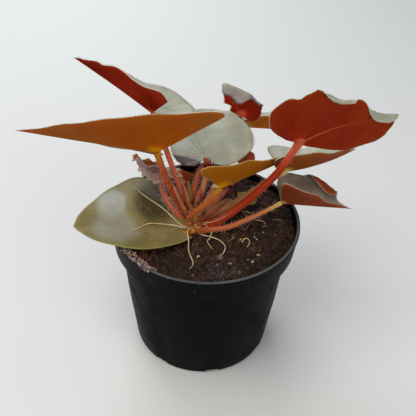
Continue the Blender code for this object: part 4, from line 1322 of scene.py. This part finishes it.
@dataclass
class NurseryPot:
    """The pot: a thin moulded shell with a rolled lip over a deep collar, and drain notches round its foot."""
    finishes: Finishes
    rim_radius: float = 60.0
    height: float = 98.0
    foot_radius: float = 46.0
    collar_height: float = 17.0
    collar_foot_radius: float = 57.7
    body_top_radius: float = 53.6
    body_middle_radius: float = 50.4
    wall: float = 1.4
    foot_round: float = 1.6
    sides: int = 144
    sharp: float = 30.0
    notch_count: int = 8
    notch: Point = (8.0, 9.0, 2.6)
    notch_turn: float = 0.25
    notch_round: float = 0.7
    notch_round_steps: int = 3
    cutter_inside: float = 2.0

    def profile(self) -> list[Pair]:
        """The closed outline of the wall, from the middle of the foot up the outside and down the inside."""
        collar_z, rim, top = self.height - self.collar_height, self.rim_radius, self.height
        foot, low, inner = self.foot_radius, self.foot_round, self.wall
        body, shoulder, collar = self.body_middle_radius, self.body_top_radius, self.collar_foot_radius
        return [(0.0, 0.6), (foot - 5, 0.6), (foot - 4, 0.0), (foot - low, 0.0), (foot - 0.45, 0.45), (foot, low),
                (body, collar_z / 2), (shoulder, collar_z - 0.6), (shoulder + 0.5, collar_z - 0.1),
                (collar - 0.5, collar_z), (collar + 0.2, collar_z + 0.25), (collar + 0.4, collar_z + 0.9),
                (rim - 0.45, top - 2.9), (rim - 0.15, top - 2.5), (rim, top - 1.6), (rim - 0.1, top - 0.75),
                (rim - 0.5, top - 0.15), (rim - 1.1, top), (rim - 1.8, top - 0.1), (rim - 2.25, top - 0.6),
                (rim - 2.5, top - 1.6), (collar - inner, collar_z + inner), (shoulder - inner, collar_z + 0.8),
                (body - inner, collar_z / 2), (foot - inner, low + inner), (0.0, low + inner)]

    def notch_cutters(self) -> Object:
        """The rounded blocks that cut the notches, as one object for the time being."""
        reach, width, rise = self.notch
        bm = bmesh.new()
        for index in range(self.notch_count):
            turn = Matrix.Rotation(math.tau * (index + self.notch_turn) / self.notch_count, 4, "Z")
            middle = Matrix.Translation(in_metres((self.foot_radius - reach / 2 + self.cutter_inside, 0.0, 0.0)))
            size = Matrix.Diagonal(in_metres((reach + 2 * self.cutter_inside, width, 2 * rise))).to_4x4()
            block = bmesh.ops.create_cube(bm, size=1.0, matrix=turn @ middle @ size)["verts"]
            corners = [e for e in {e for v in block for e in v.link_edges}
                       if all(v.co.z > 0 for v in e.verts)]
            bmesh.ops.bevel(bm, geom=corners, offset=self.notch_round * MM, segments=self.notch_round_steps,
                            profile=0.5, affect="EDGES", material=-1)
        mesh = bpy.data.meshes.new("notches")
        bm.to_mesh(mesh)
        bm.free()
        cutter = bpy.data.objects.new("notches", mesh)
        bpy.context.scene.collection.objects.link(cutter)
        return cutter

    def build(self) -> Object:
        """Build the pot and cut its notches."""
        pot = self.finishes.dress("nursery_pot", turned(self.profile(), self.sides), "pot_plastic", Plastic.POT,
                                  nodes=("pot",), sharp=self.sharp)
        cutter = self.notch_cutters()
        cut = pot.modifiers.new("notches", "BOOLEAN")
        cut.operation, cut.solver, cut.object = "DIFFERENCE", "EXACT", cutter
        bpy.context.view_layer.update()
        mesh = bpy.data.meshes.new_from_object(pot.evaluated_get(bpy.context.evaluated_depsgraph_get()))
        pot.modifiers.clear()
        pot.data = mesh
        bpy.data.objects.remove(cutter)
        return pot


# The soil

@dataclass(frozen=True)
class Scatter:
    """Small lumps strewn on the soil: how many, their least and most half length, and their half sizes as shares.

    A patch is the middle x and y and the reach of the part of the soil that takes them; without one it is all of it.
    """
    finish: Ground
    count: int
    sizes: Pair
    form: Point
    patch: Point | None = None


LOOSE_SOIL = {
    "soil_crumbs": Scatter(Ground.CRUMB, 2600, (0.3, 1.5), (1, 0.8, 0.6)),
    "soil_clods": Scatter(Ground.CLOD, 520, (0.8, 3.2), (1, 0.8, 0.7)),
    "brown_clods": Scatter(Ground.CRUMB, 260, (0.6, 2.2), (1, 0.8, 0.7), (26, -24, 16)),
    "coir_bits": Scatter(Ground.COIR, 260, (0.25, 0.9), (1.6, 0.6, 0.5)),
    "soil_specks": Scatter(Ground.SPECK, 420, (0.14, 0.5), (1, 0.9, 0.8)),
    # Crumbs and grains whose pale grey paints wet glints.
    "wet_crumbs": Scatter(Ground.WET, 420, (0.25, 0.9), (1, 0.8, 0.7), (11, -47, 7)),
    "wet_grains": Scatter(Ground.WET, 300, (0.2, 0.7), (1, 0.8, 0.7)),
}
COIR_CLUMP = Scatter(Ground.COIR, 260, (0.4, 1.1), (1.5, 0.7, 0.6), (-39, -36, 4.5))


@dataclass(frozen=True)
class Stones:
    """Pieces laid on the soil one by one: each one's x, y and half size, their form and how proud they stand."""
    finish: Ground
    form: Point
    proud: float
    places: tuple[Point, ...]


STONES = {
    "bark_chips": Stones(Ground.CHIP, (1.3, 0.8, 0.6), 0.2, (
        (17.8, -18.8, 0.9), (21.9, -18.7, 1.1), (15.8, -40, 1.2), (32.8, -31, 1.3), (26.4, -35, 0.8), (-40, -37, 0.9),
        (30, 8, 0.8), (-6, -50, 0.9))),
    "perlite_grains": Stones(Ground.PERLITE, (1, 0.9, 0.8), 0.3, (
        (-3.2, -35.9, 1), (29.7, -34.4, 0.8), (29.1, -36.2, 0.9), (29.1, -26.7, 0.5), (30.7, -16, 0.5),
        (32, -16.7, 0.6), (36.2, -10.9, 0.5), (35, -43.4, 0.5), (8.2, -40.1, 0.5), (-48, -30, 1.3), (-46.5, -32, 1),
        (12, 34, 0.5), (-20, 38, 0.7), (38, -2, 0.4), (44, -12, 0.4))),
}


@dataclass(frozen=True)
class LipClump:
    """The pale debris that has climbed the pot's lip at the front left."""
    finish: Ground = Ground.TUFT
    count: int = 190
    angles: Pair = (213.0, 240.0)
    radii: Pair = (54.8, 59.9)
    rise: float = 5.2
    rise_from: float = 51.5
    rise_width: float = 5.0
    lifts: Pair = (0.6, 1.0)
    sizes: Pair = (0.3, 0.95)
    form: Point = (1.3, 0.8, 0.6)


@dataclass(frozen=True)
class Fibres:
    """The thin fibres that lie on the soil, each of a few spans that wander."""
    count: int = 260
    spans: int = 3
    lengths: Pair = (3.0, 9.0)
    wander: float = 0.5
    clear: float = 0.25
    arch: float = 0.4
    radii: Pair = (0.08, 0.16)
    step: float = 1.2


@dataclass
class RootBall:
    """The soil: a low mound that fills the pot, with its crumbs, chips, fibres and grains."""
    finishes: Finishes
    edge_z: float = 93.2
    mound: float = 3.4
    rim_radius: float = 60.0
    top_radius: float = 56.9
    side: tuple[Pair, ...] = ((55.9, 82.8), (51.8, 82.4), (48.6, 40.5), (44.1, 3.6), (0.0, 3.6))
    sides: int = 240
    rings: int = 60
    relief: tuple[Pair, ...] = ((1.0, 13.0), (1.3, 5.5), (1.2, 2.4))
    relief_apart: float = 20.0
    strewn_radius: float = 55.0
    strewn_most: float = 55.5
    lump_sink: float = 0.2

    def height(self, x: float, y: float) -> float:
        """The height of the soil's top, in millimetres: a mound with lumps, clods and fine relief."""
        height = self.edge_z + self.mound * (1 - (math.hypot(x, y) / self.rim_radius) ** 2)
        for index, (most, width) in enumerate(self.relief):
            height += most * noise.noise(Vector((x, y, index * self.relief_apart)) / width)
        return height

    def build(self) -> None:
        """Build the root ball and everything that lies on it."""
        top = [(self.top_radius * step / self.rings, self.edge_z) for step in range(self.rings + 1)]
        bm = turned(top + list(self.side), self.sides)
        for vert in bm.verts:
            if vert.co.z > (self.edge_z - 0.3) * MM:
                vert.co.z = self.height(vert.co.x / MM, vert.co.y / MM) * MM
        self.finishes.dress("root_ball", bm, "soil", Ground.SOIL, nodes=("soil",))
        draw = Random("soil")
        for name, loose in LOOSE_SOIL.items():
            self.strew(name, loose, draw)
        for name, stones in STONES.items():
            bm = bmesh.new()
            for x, y, size in stones.places:
                place = Vector((x, y, self.height(x, y) + size * stones.proud))
                crumb(bm, place, Vector(stones.form) * size, draw, 2)
            self.finishes.dress(name, bm, "soil", stones.finish)
        self.strew("coir_clump", COIR_CLUMP, draw)
        self.build_lip_clump(LipClump(), draw)
        self.build_fibres(Fibres(), draw)

    def spot(self, draw: Random, sink: float = 0.0, patch: Point | None = None) -> Vector:
        """A place on the soil drawn at random, over all of it or round one place."""
        while True:
            if patch:
                x, y = draw.gauss(patch[0], patch[2]), draw.gauss(patch[1], patch[2])
            else:
                radius, angle = self.strewn_radius * math.sqrt(draw.random()), draw.uniform(0, math.tau)
                x, y = radius * math.cos(angle), radius * math.sin(angle)
            if math.hypot(x, y) <= self.strewn_most:
                return Vector((x, y, self.height(x, y) - sink))

    def strew(self, name: str, loose: Scatter, draw: Random) -> None:
        """Build a piece of many small lumps on the soil, of which most are small."""
        def one(batch: BMesh) -> None:
            """Add one lump."""
            least, most = loose.sizes
            size = least + (most - least) * draw.random() ** 3
            crumb(batch, self.spot(draw, size * self.lump_sink, loose.patch), Vector(loose.form) * size, draw)
        bm = bmesh.new()
        in_batches(bm, loose.count, one)
        self.finishes.dress(name, bm, "soil", loose.finish)

    def build_lip_clump(self, clump: LipClump, draw: Random) -> None:
        """Build the pale debris on the lip."""
        bm = bmesh.new()
        for _ in range(clump.count):
            angle = math.radians(draw.uniform(*clump.angles))
            radius = draw.uniform(*clump.radii)
            x, y = radius * math.cos(angle), radius * math.sin(angle)
            rise = draw.uniform(*clump.lifts) * clump.rise * smoothstep((radius - clump.rise_from) / clump.rise_width)
            size = Vector(clump.form) * draw.uniform(*clump.sizes)
            crumb(bm, Vector((x, y, self.height(x, y) + rise)), size, draw)
        self.finishes.dress("pale_clump", bm, "soil", clump.finish)

    def build_fibres(self, fibres: Fibres, draw: Random) -> None:
        """Build the fibres."""
        def one(batch: BMesh) -> None:
            """Add one fibre, unless it would start too near the pot's wall."""
            start = self.spot(draw)
            heading = draw.uniform(0, math.tau)
            length = draw.uniform(*fibres.lengths)
            points = []
            for step in range(fibres.spans + 1):
                heading += draw.gauss(0, fibres.wander)
                x = start.x + math.cos(heading) * length * step / fibres.spans
                y = start.y + math.sin(heading) * length * step / fibres.spans
                if math.hypot(x, y) > self.strewn_radius:
                    break
                z = self.height(x, y) + fibres.clear + fibres.arch * (step % 2) * draw.random()
                points.append(Vector((x, y, z)))
            if len(points) > 2:
                thick = draw.uniform(*fibres.radii)
                sweep(batch, even_path(points, fibres.step), lambda share: thick, 3)
        bm = bmesh.new()
        in_batches(bm, fibres.count, one)
        self.finishes.dress("soil_fibres", bm, "soil", Ground.FIBRE)


# The rhizome, and the papery and hairy parts that stand on it

@dataclass(frozen=True)
class Sheath:
    """A papery pointed sheet: its foot, its tip, its width and how far it bows forwards."""
    foot: Point
    tip: Point
    width: float
    bow: float


SHEATHS = {
    "stipules": (Ground.STIPULE, (
        Sheath((-11.5, -5, 101.5), (-21, -2.5, 124.9), 2.2, 1.2), Sheath((-9, -2, 102.5), (-14.5, 3, 121), 2.2, 0.8),
        Sheath((-12, -12, 98.5), (-8.5, -15, 105), 4.5, 0.8), Sheath((-7, -14.5, 98), (-3, -14.5, 103.5), 5, 0.8),
        Sheath((-5, -6, 101.5), (2, 1.5, 114.5), 3.2, 1.2))),
    "sheaths": (Ground.SHEATH, (
        Sheath((-10, 1, 108.5), (-11.6, 4.5, 122), 3.8, 0.6), Sheath((-3, -5, 102), (15, 3.5, 110.9), 4.2, 1.2),
        Sheath((-10.5, 2, 102), (-17.5, 6, 115), 3.6, 1))),
    "blush_sheaths": (Ground.BLUSH, (
        Sheath((-4.5, -3.5, 102), (13.4, 5, 117.8), 6.4, 1.4), Sheath((-3.5, -6, 101), (9, -1, 106.5), 3.6, 1),
        Sheath((-7, 1, 102.5), (-3.5, 7, 116), 3.6, 0.8))),
}

# The teeth of the bract: the foot, the tip and the radius at the foot
TEETH = (((-0.6, 21.6, 118.6), (-2.2, 21.2, 127.4), 1.2), ((0.4, 21.4, 118.4), (-0.2, 21, 126), 1.3),
         ((1.4, 21.4, 118.4), (1.6, 21, 127.8), 1.3), ((2.4, 21.6, 118.6), (3.4, 21.2, 125.8), 1.1),
         ((-1.4, 21.8, 119), (-3.4, 21.6, 124.4), 0.9), ((0.6, 21, 119), (0.5, 20.6, 124), 1.6),
         ((1.8, 21, 118.6), (2.4, 20.6, 123.4), 1.4))

# Lines of hairs: the start, the end, the way they point and how many there are
HAIR_LINES = (((13.5, 6, 113.5), (19, 6, 103.8), (0.7, -0.3, 0.35), 110),
              ((14.5, 2, 105.2), (6.6, 0, 100.6), (0.2, -0.5, -0.5), 90),
              ((14, 6.5, 114), (10, 5, 116), (0.2, -0.3, 0.9), 36))

# The scales of old leaves: the foot's x, y and z, the way a scale points, its rise and its length
SCALES = ((-9, -12, 101, 250, 62, 5), (-4, -13.5, 100, 300, 50, 5.5), (-2, -11, 101.5, 330, 65, 5),
          (-12, -8, 101, 200, 60, 4.5), (-1.5, -5, 102, 10, 60, 5), (-6, 2, 102.5, 60, 70, 5),
          (-11, 4, 101.5, 140, 55, 4.5))


@dataclass
class Rhizome:
    """The rhizome: a knobbly egg half sunk in the soil, with the papery scales of old leaves."""
    finishes: Finishes
    centre: Point = (-8.2, -3.0, 97.0)
    half: Point = (8.4, 13.5, 5.6)
    fineness: int = 5
    knob: float = 0.7
    knobs_across: float = 2.3
    scar: float = 0.35
    scars_across: Point = (2.0, 9.0, 2.0)
    sheet: float = 0.3
    sheath_taper: Pair = (0.8, 0.2)
    sheath_round: float = 0.7
    sheath_tip: float = 0.02
    sheath_hollow: float = 0.5
    ripple: float = 0.25
    ripples: Pair = (6.0, 1.5)
    scale_width: float = 0.34
    scale_taper: Pair = (0.85, 0.12)
    scale_hollow: float = 0.16
    scale_curl: float = 0.25
    scale_rough: float = 0.15
    hair_scatter: Point = (0.5, 0.9, 0.6)
    hair_spread: Point = (0.45, 0.45, 0.45)
    hair_lengths: Pair = (1.4, 3.6)
    hair_radius: float = 0.13
    pale_every: int = 4

    def build(self) -> None:
        """Build the rhizome, and the scales, sheaths, teeth and hairs round it."""
        bm = bmesh.new()
        bmesh.ops.create_icosphere(bm, subdivisions=self.fineness, radius=1.0)
        for vert in bm.verts:
            outward = vert.co.normalized()
            knob = self.knob * noise.noise(outward * self.knobs_across)
            ring = self.scar * noise.noise(Vector(o * s for o, s in zip(outward, self.scars_across)))
            spot = Vector(self.centre) + Vector(o * h for o, h in zip(outward, self.half))
            vert.co = in_metres(spot + outward * (knob + ring))
        self.finishes.dress("rhizome", bm, "crown_skin", Ground.RHIZOME, nodes=("crown",))
        self.build_scales()
        for name, (kind, sheaths) in SHEATHS.items():
            bm = bmesh.new()
            for sheath in sheaths:
                self.add_sheath(bm, sheath)
            thicken(self.finishes.dress(name, bm, "crown_skin", kind), self.sheet)
        self.build_teeth()
        self.build_hairs()

    def build_scales(self) -> None:
        """Build the papery scales that stand at the feet of the stalks."""
        bm = bmesh.new()
        draw = Random("scales")
        for x, y, z, heading, rise, length in SCALES:
            turn = Matrix.Rotation(math.radians(heading), 4, "Z") @ Matrix.Rotation(-math.radians(rise), 4, "Y")
            matrix = Matrix.Translation(in_metres((x, y, z))) @ turn
            for vert in bmesh.ops.create_grid(bm, x_segments=8, y_segments=6, size=1.0)["verts"]:
                along, across = (vert.co.x + 1) / 2, vert.co.y
                wide = math.sin(math.pi * min(along * self.scale_taper[0] + self.scale_taper[1], 1.0))
                width = wide * length * self.scale_width
                lift = (length * self.scale_hollow * (across ** 2) + length * self.scale_curl * along ** 2
                        + draw.uniform(0, self.scale_rough))
                vert.co = matrix @ in_metres((along * length, across * width, lift))
        thicken(self.finishes.dress("leaf_scales", bm, "crown_skin", Ground.SCALE), self.sheet)

    def add_sheath(self, bm: BMesh, sheath: Sheath) -> None:
        """Add a sheath, hollow towards the middle of the plant."""
        foot = Vector(sheath.foot)
        along = Vector(sheath.tip) - foot
        side = along.cross(Vector((0.0, -1.0, 0.4))).normalized()
        front = side.cross(along).normalized()
        front = -front if front.y > 0 else front
        for vert in bmesh.ops.create_grid(bm, x_segments=16, y_segments=8, size=1.0)["verts"]:
            share, across = (vert.co.x + 1) / 2, vert.co.y
            wide = math.sin(math.pi * min(share * self.sheath_taper[0] + self.sheath_taper[1], 1.0))
            half = sheath.width / 2 * (wide ** self.sheath_round + self.sheath_tip)
            hollow = -self.sheath_hollow * half * across ** 2 + sheath.bow * math.sin(math.pi * share)
            ripple = self.ripple * noise.noise(Vector((share * self.ripples[0], across * self.ripples[1], foot.x)))
            vert.co = in_metres(foot + along * share + side * (across * half) + front * (hollow + ripple))

    def build_teeth(self) -> None:
        """Build the red toothed bract under the silver blade."""
        bm = bmesh.new()
        for foot, tip, radius in TEETH:
            way = Vector(tip) - Vector(foot)
            spike(bm, Vector(foot), way.normalized(), way.length, radius)
        self.finishes.dress("toothed_bract", bm, "crown_skin", Ground.TEETH)

    def build_hairs(self) -> None:
        """Build the hairs of the bud and of its sheath, most of them dark and some pale."""
        dark, pale = bmesh.new(), bmesh.new()
        draw = Random("bud hairs")
        for start, end, way, count in HAIR_LINES:
            for index in range(count):
                foot = Vector(start).lerp(Vector(end), draw.random()) + scattered(draw, *self.hair_scatter)
                lean = Vector(way) + scattered(draw, *self.hair_spread)
                spike(dark if index % self.pale_every else pale, foot, lean.normalized(),
                      draw.uniform(*self.hair_lengths), self.hair_radius)
        self.finishes.dress("dark_hairs", dark, "crown_skin", Ground.DARK_HAIR)
        self.finishes.dress("pale_hairs", pale, "crown_skin", Ground.HAIR)


# The aerial roots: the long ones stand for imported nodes, and the others lie on the soil and the crown

LONG_ROOTS: dict[str, tuple[Point, ...]] = {
    "root_upper_left": (
        (-10, -10, 100), (-12.3, -14.4, 101.4), (-14.2, -14.5, 101.7), (-17.5, -11.3, 102.2),
        (-22.1, -6.4, 103.1), (-26.9, -1.2, 103.9), (-32.3, 3.3, 104.5), (-37.1, 7.2, 104.8),
        (-42.8, 12.9, 104.9), (-47.7, 18.6, 104.8)),
    "root_lower_left": (
        (-9, -12, 100), (-12, -16.4, 101.4), (-14.1, -16.2, 101.6), (-17.8, -15.5, 102.2),
        (-21.5, -15.3, 102.6), (-27.6, -15.5, 103.2), (-33.6, -16, 103.6), (-37.6, -18.7, 103.7),
        (-42, -22.7, 103.7), (-46.3, -26.6, 104)),
    "root_front": (
        (-8.5, -12, 99), (-10.5, -20, 101.8), (-9.5, -27, 100.4), (-9, -33, 97.5),
        (-6, -42, 96.6), (-8, -47, 96.4)),
    "root_front_right": (
        (-6.5, -13, 96.5), (-1.2, -17, 97), (3.7, -18.8, 97.4), (8.1, -21, 97.4),
        (11.4, -24.3, 97.3), (12.7, -27.4, 97.2), (11.9, -31.6, 97), (9.8, -35.4, 96.6)),
}

# Loose roots by piece: their finish, their radii at the two ends and their points
LOOSE_ROOTS: dict[str, tuple[Ground, Pair, tuple[tuple[Point, ...], ...]]] = {
    "short_roots": (Ground.ROOT, (0.38, 0.25), (
        ((3.9, -14.5, 98.4), (3.8, -18.1, 98), (2.6, -21.2, 97.2), (1.5, -22.4, 97), (3.2, -26.1, 96.9),
         (5.2, -29, 96.3)),
        ((22.8, -21.8, 96.6), (24.4, -19.1, 97.3), (26.2, -18.9, 97.4), (27.4, -21.2, 97.2), (26.9, -23.9, 97),
         (25.5, -25.8, 96.2)),
        ((31.6, -0.3, 97), (34.5, -0.9, 97.2), (36.9, -1.7, 97), (37.8, -3.1, 96.4)),
        ((23.2, 6.9, 97.2), (26.2, 7.1, 97.6), (28.8, 6, 97)))),
    "old_roots": (Ground.OLD_ROOT, (0.38, 0.25), (
        ((14.2, -22.2, 96.4), (15.5, -20.5, 97.1), (16.7, -20.5, 97.1), (17, -17.4, 97.1), (17.8, -14.1, 96.6)),
        ((20.2, -7.7, 97), (22.8, -9.9, 97.2), (25.1, -10.1, 97.2), (26.7, -7.2, 97.2), (27.7, -3.8, 96.8)),
        ((35.6, -6.7, 96.6), (37.4, -5.9, 97), (39.1, -5.8, 96.6)),
        ((42.6, 1, 96.2), (45.5, 1.7, 96.8), (48.9, 0.8, 96)),
        ((21, -45.6, 95.6), (21.6, -48.5, 95.6)))),
    "thin_roots": (Ground.ROOT, (0.24, 0.16), (
        ((-3.5, -12, 102.4), (2.1, -12.9, 103.6), (6.4, -12.4, 105), (10.4, -11.4, 106.8), (13.9, -10.6, 108.6)),
        ((-2.4, -13.9, 102.4), (-0.2, -13.8, 103.2), (1.8, -16.3, 102.6)))),
}
TUFTS = ((9.3, -36.2, 96.2), (-32.9, -49.6, 97.6))


@dataclass
class AerialRoots:
    """The aerial roots, their radii at the crown and at the far end, and the tufts of rootlets."""
    finishes: Finishes
    sides: int = 10
    loose_sides: int = 6
    step: float = 1.2
    radii: Pair = (0.45, 0.3)
    uneven: float = 0.16
    swellings: float = 9.0
    taper: float = 0.55
    taper_part: Pair = (0.85, 0.15)
    loose_seed: int = 9
    tuft_hairs: int = 70
    tuft_spread: Point = (1.0, 0.8, 0.4)
    tuft_lengths: Pair = (1.0, 3.0)
    tuft_radius: float = 0.16

    def add_root(self, bm: BMesh, points: Sequence[Point], radii: Pair, seed: int, sides: int) -> None:
        """Add a root through some points, with small uneven swellings and a fine end."""
        def radius_at(share: float) -> float:
            """Its radius a share of the way along it."""
            wobble = 1 + self.uneven * noise.noise(Vector((share * self.swellings, seed, 0.0)))
            fine = 1 - self.taper * smoothstep((share - self.taper_part[0]) / self.taper_part[1])
            return (radii[0] + (radii[1] - radii[0]) * share) * wobble * fine
        sweep(bm, even_path(points, self.step), radius_at, sides)

    def build(self) -> None:
        """Build the long roots, one piece each, and the others as one piece for each kind."""
        for index, (name, points) in enumerate(LONG_ROOTS.items()):
            bm = bmesh.new()
            self.add_root(bm, points, self.radii, index, self.sides)
            self.finishes.dress("aerial_" + name, cleaned(bm), "root_skin", Ground.ROOT, nodes=(name,))
        for name, (kind, radii, roots) in LOOSE_ROOTS.items():
            bm = bmesh.new()
            for index, points in enumerate(roots):
                self.add_root(bm, points, radii, index + self.loose_seed, self.loose_sides)
            self.finishes.dress(name, cleaned(bm), "root_skin", kind)
        self.build_tufts()

    def build_tufts(self) -> None:
        """Build the small tufts of pale rootlets."""
        bm = bmesh.new()
        draw = Random("tufts")
        for place in TUFTS:
            for _ in range(self.tuft_hairs):
                way = scattered(draw, *self.tuft_spread)
                way.z = abs(way.z)
                spike(bm, Vector(place), way.normalized(), draw.uniform(*self.tuft_lengths), self.tuft_radius)
        self.finishes.dress("root_tufts", bm, "root_skin", Ground.TUFT)


# The camera, the lamps and the floor

@dataclass(frozen=True)
class Lamp:
    """A square lamp that looks at the plant: its place and width in metres, its power in watts and its colour."""
    place: Point
    size: float
    power: float
    colour: Colour


@dataclass
class Studio:
    """The camera at the photograph's viewing angle, the floor and the lamps."""
    target: Point = (1.25, 0.0, 104.8)
    distance: float = 407.5
    elevation: float = 38.6
    roll: float = 2.5
    focal_pixels: float = 650.0
    frame_pixels: float = 416.0
    sensor: float = 36.0
    nearest: float = 10.0
    lamp_target: Point = (0.0, 0.0, 0.1)
    sky: Colour = (0.82, 0.9, 1.0)
    sky_strength: float = 0.34
    floor: Colour = (0.7, 0.69, 0.67)
    floor_roughness: float = 0.7
    floor_gloss: float = 0.5
    floor_half: float = 3000.0
    floor_z: float = -0.3

    def build(self) -> None:
        """Build the camera, the lamps, the sky and the floor."""
        scene = bpy.context.scene
        self.build_camera()
        for name, lamp in LAMPS.items():
            light = bpy.data.lights.new(name, "AREA")
            light.shape, light.size, light.energy, light.color = "SQUARE", lamp.size, lamp.power, lamp.colour
            obj = bpy.data.objects.new(name, light)
            scene.collection.objects.link(obj)
            obj.location = lamp.place
            aim = Vector(self.lamp_target) - Vector(lamp.place)
            obj.rotation_euler = aim.to_track_quat("-Z", "Y").to_euler()
        scene.world = bpy.data.worlds.new("sky")
        scene.world.use_nodes = True
        background = scene.world.node_tree.nodes["Background"]
        background.inputs["Color"].default_value = (*self.sky, 1.0)
        background.inputs["Strength"].default_value = self.sky_strength
        scene.view_settings.view_transform = "Standard"
        self.build_floor()

    def build_camera(self) -> None:
        """Build the camera."""
        rise, roll = math.radians(self.elevation), math.radians(self.roll)
        back = Vector((0.0, -math.cos(rise), math.sin(rise)))
        right, up = Vector((1.0, 0.0, 0.0)), Vector((0.0, math.sin(rise), math.cos(rise)))
        right, up = (right * math.cos(roll) + up * math.sin(roll), up * math.cos(roll) - right * math.sin(roll))
        data = bpy.data.cameras.new("camera")
        data.sensor_width = self.sensor
        data.lens = self.focal_pixels / self.frame_pixels * self.sensor
        data.clip_start = self.nearest * MM
        camera = bpy.data.objects.new("camera", data)
        bpy.context.scene.collection.objects.link(camera)
        matrix = Matrix((right, up, back)).transposed().to_4x4()
        matrix.translation = in_metres(Vector(self.target) + back * self.distance)
        camera.matrix_world = matrix
        bpy.context.scene.camera = camera

    def build_floor(self) -> None:
        """Build the plain pale floor."""
        bm = bmesh.new()
        bmesh.ops.create_grid(bm, x_segments=1, y_segments=1, size=self.floor_half * MM)
        mesh = bpy.data.meshes.new("floor")
        bm.to_mesh(mesh)
        bm.free()
        finish = Finish("pale_floor", self.floor_roughness, self.floor_gloss)
        finish.shader.inputs["Base Color"].default_value = (*self.floor, 1.0)
        mesh.materials.append(finish.material)
        floor = bpy.data.objects.new("floor", mesh)
        floor.location.z = self.floor_z * MM
        bpy.context.scene.collection.objects.link(floor)


LAMPS = {
    "key": Lamp((-0.35, -0.25, 0.95), 0.7, 5.6, (1.0, 0.97, 0.92)),
    "back": Lamp((-0.38, 0.95, 0.8), 0.85, 8.5, (0.92, 0.97, 1.0)),
    "fill": Lamp((0.55, -0.75, 0.45), 0.8, 3.6, (1.0, 0.96, 0.9)),
}


def main() -> None:
    """Build every sub-assembly in order."""
    logging.basicConfig(level=logging.INFO, format="%(name)s %(message)s")
    Studio().build()
    finishes = Finishes()
    for part in (NurseryPot, RootBall, Rhizome, Stalks):
        part(finishes).build()
    fringe, dark_fringe = bmesh.new(), bmesh.new()
    draw = Random("fringe")
    for name, leaf in LEAVES.items():
        blade = Blade(name, leaf)
        blade.build(finishes)
        blade.add_fringe(dark_fringe if leaf.dark_fringe else fringe, draw)
    finishes.dress("margin_hairs", fringe, "stalk_skin", Ground.HAIR)
    finishes.dress("dark_margin_hairs", dark_fringe, "stalk_skin", Ground.TEETH)
    AerialRoots(finishes).build()


if __name__ == "__main__":
    main()
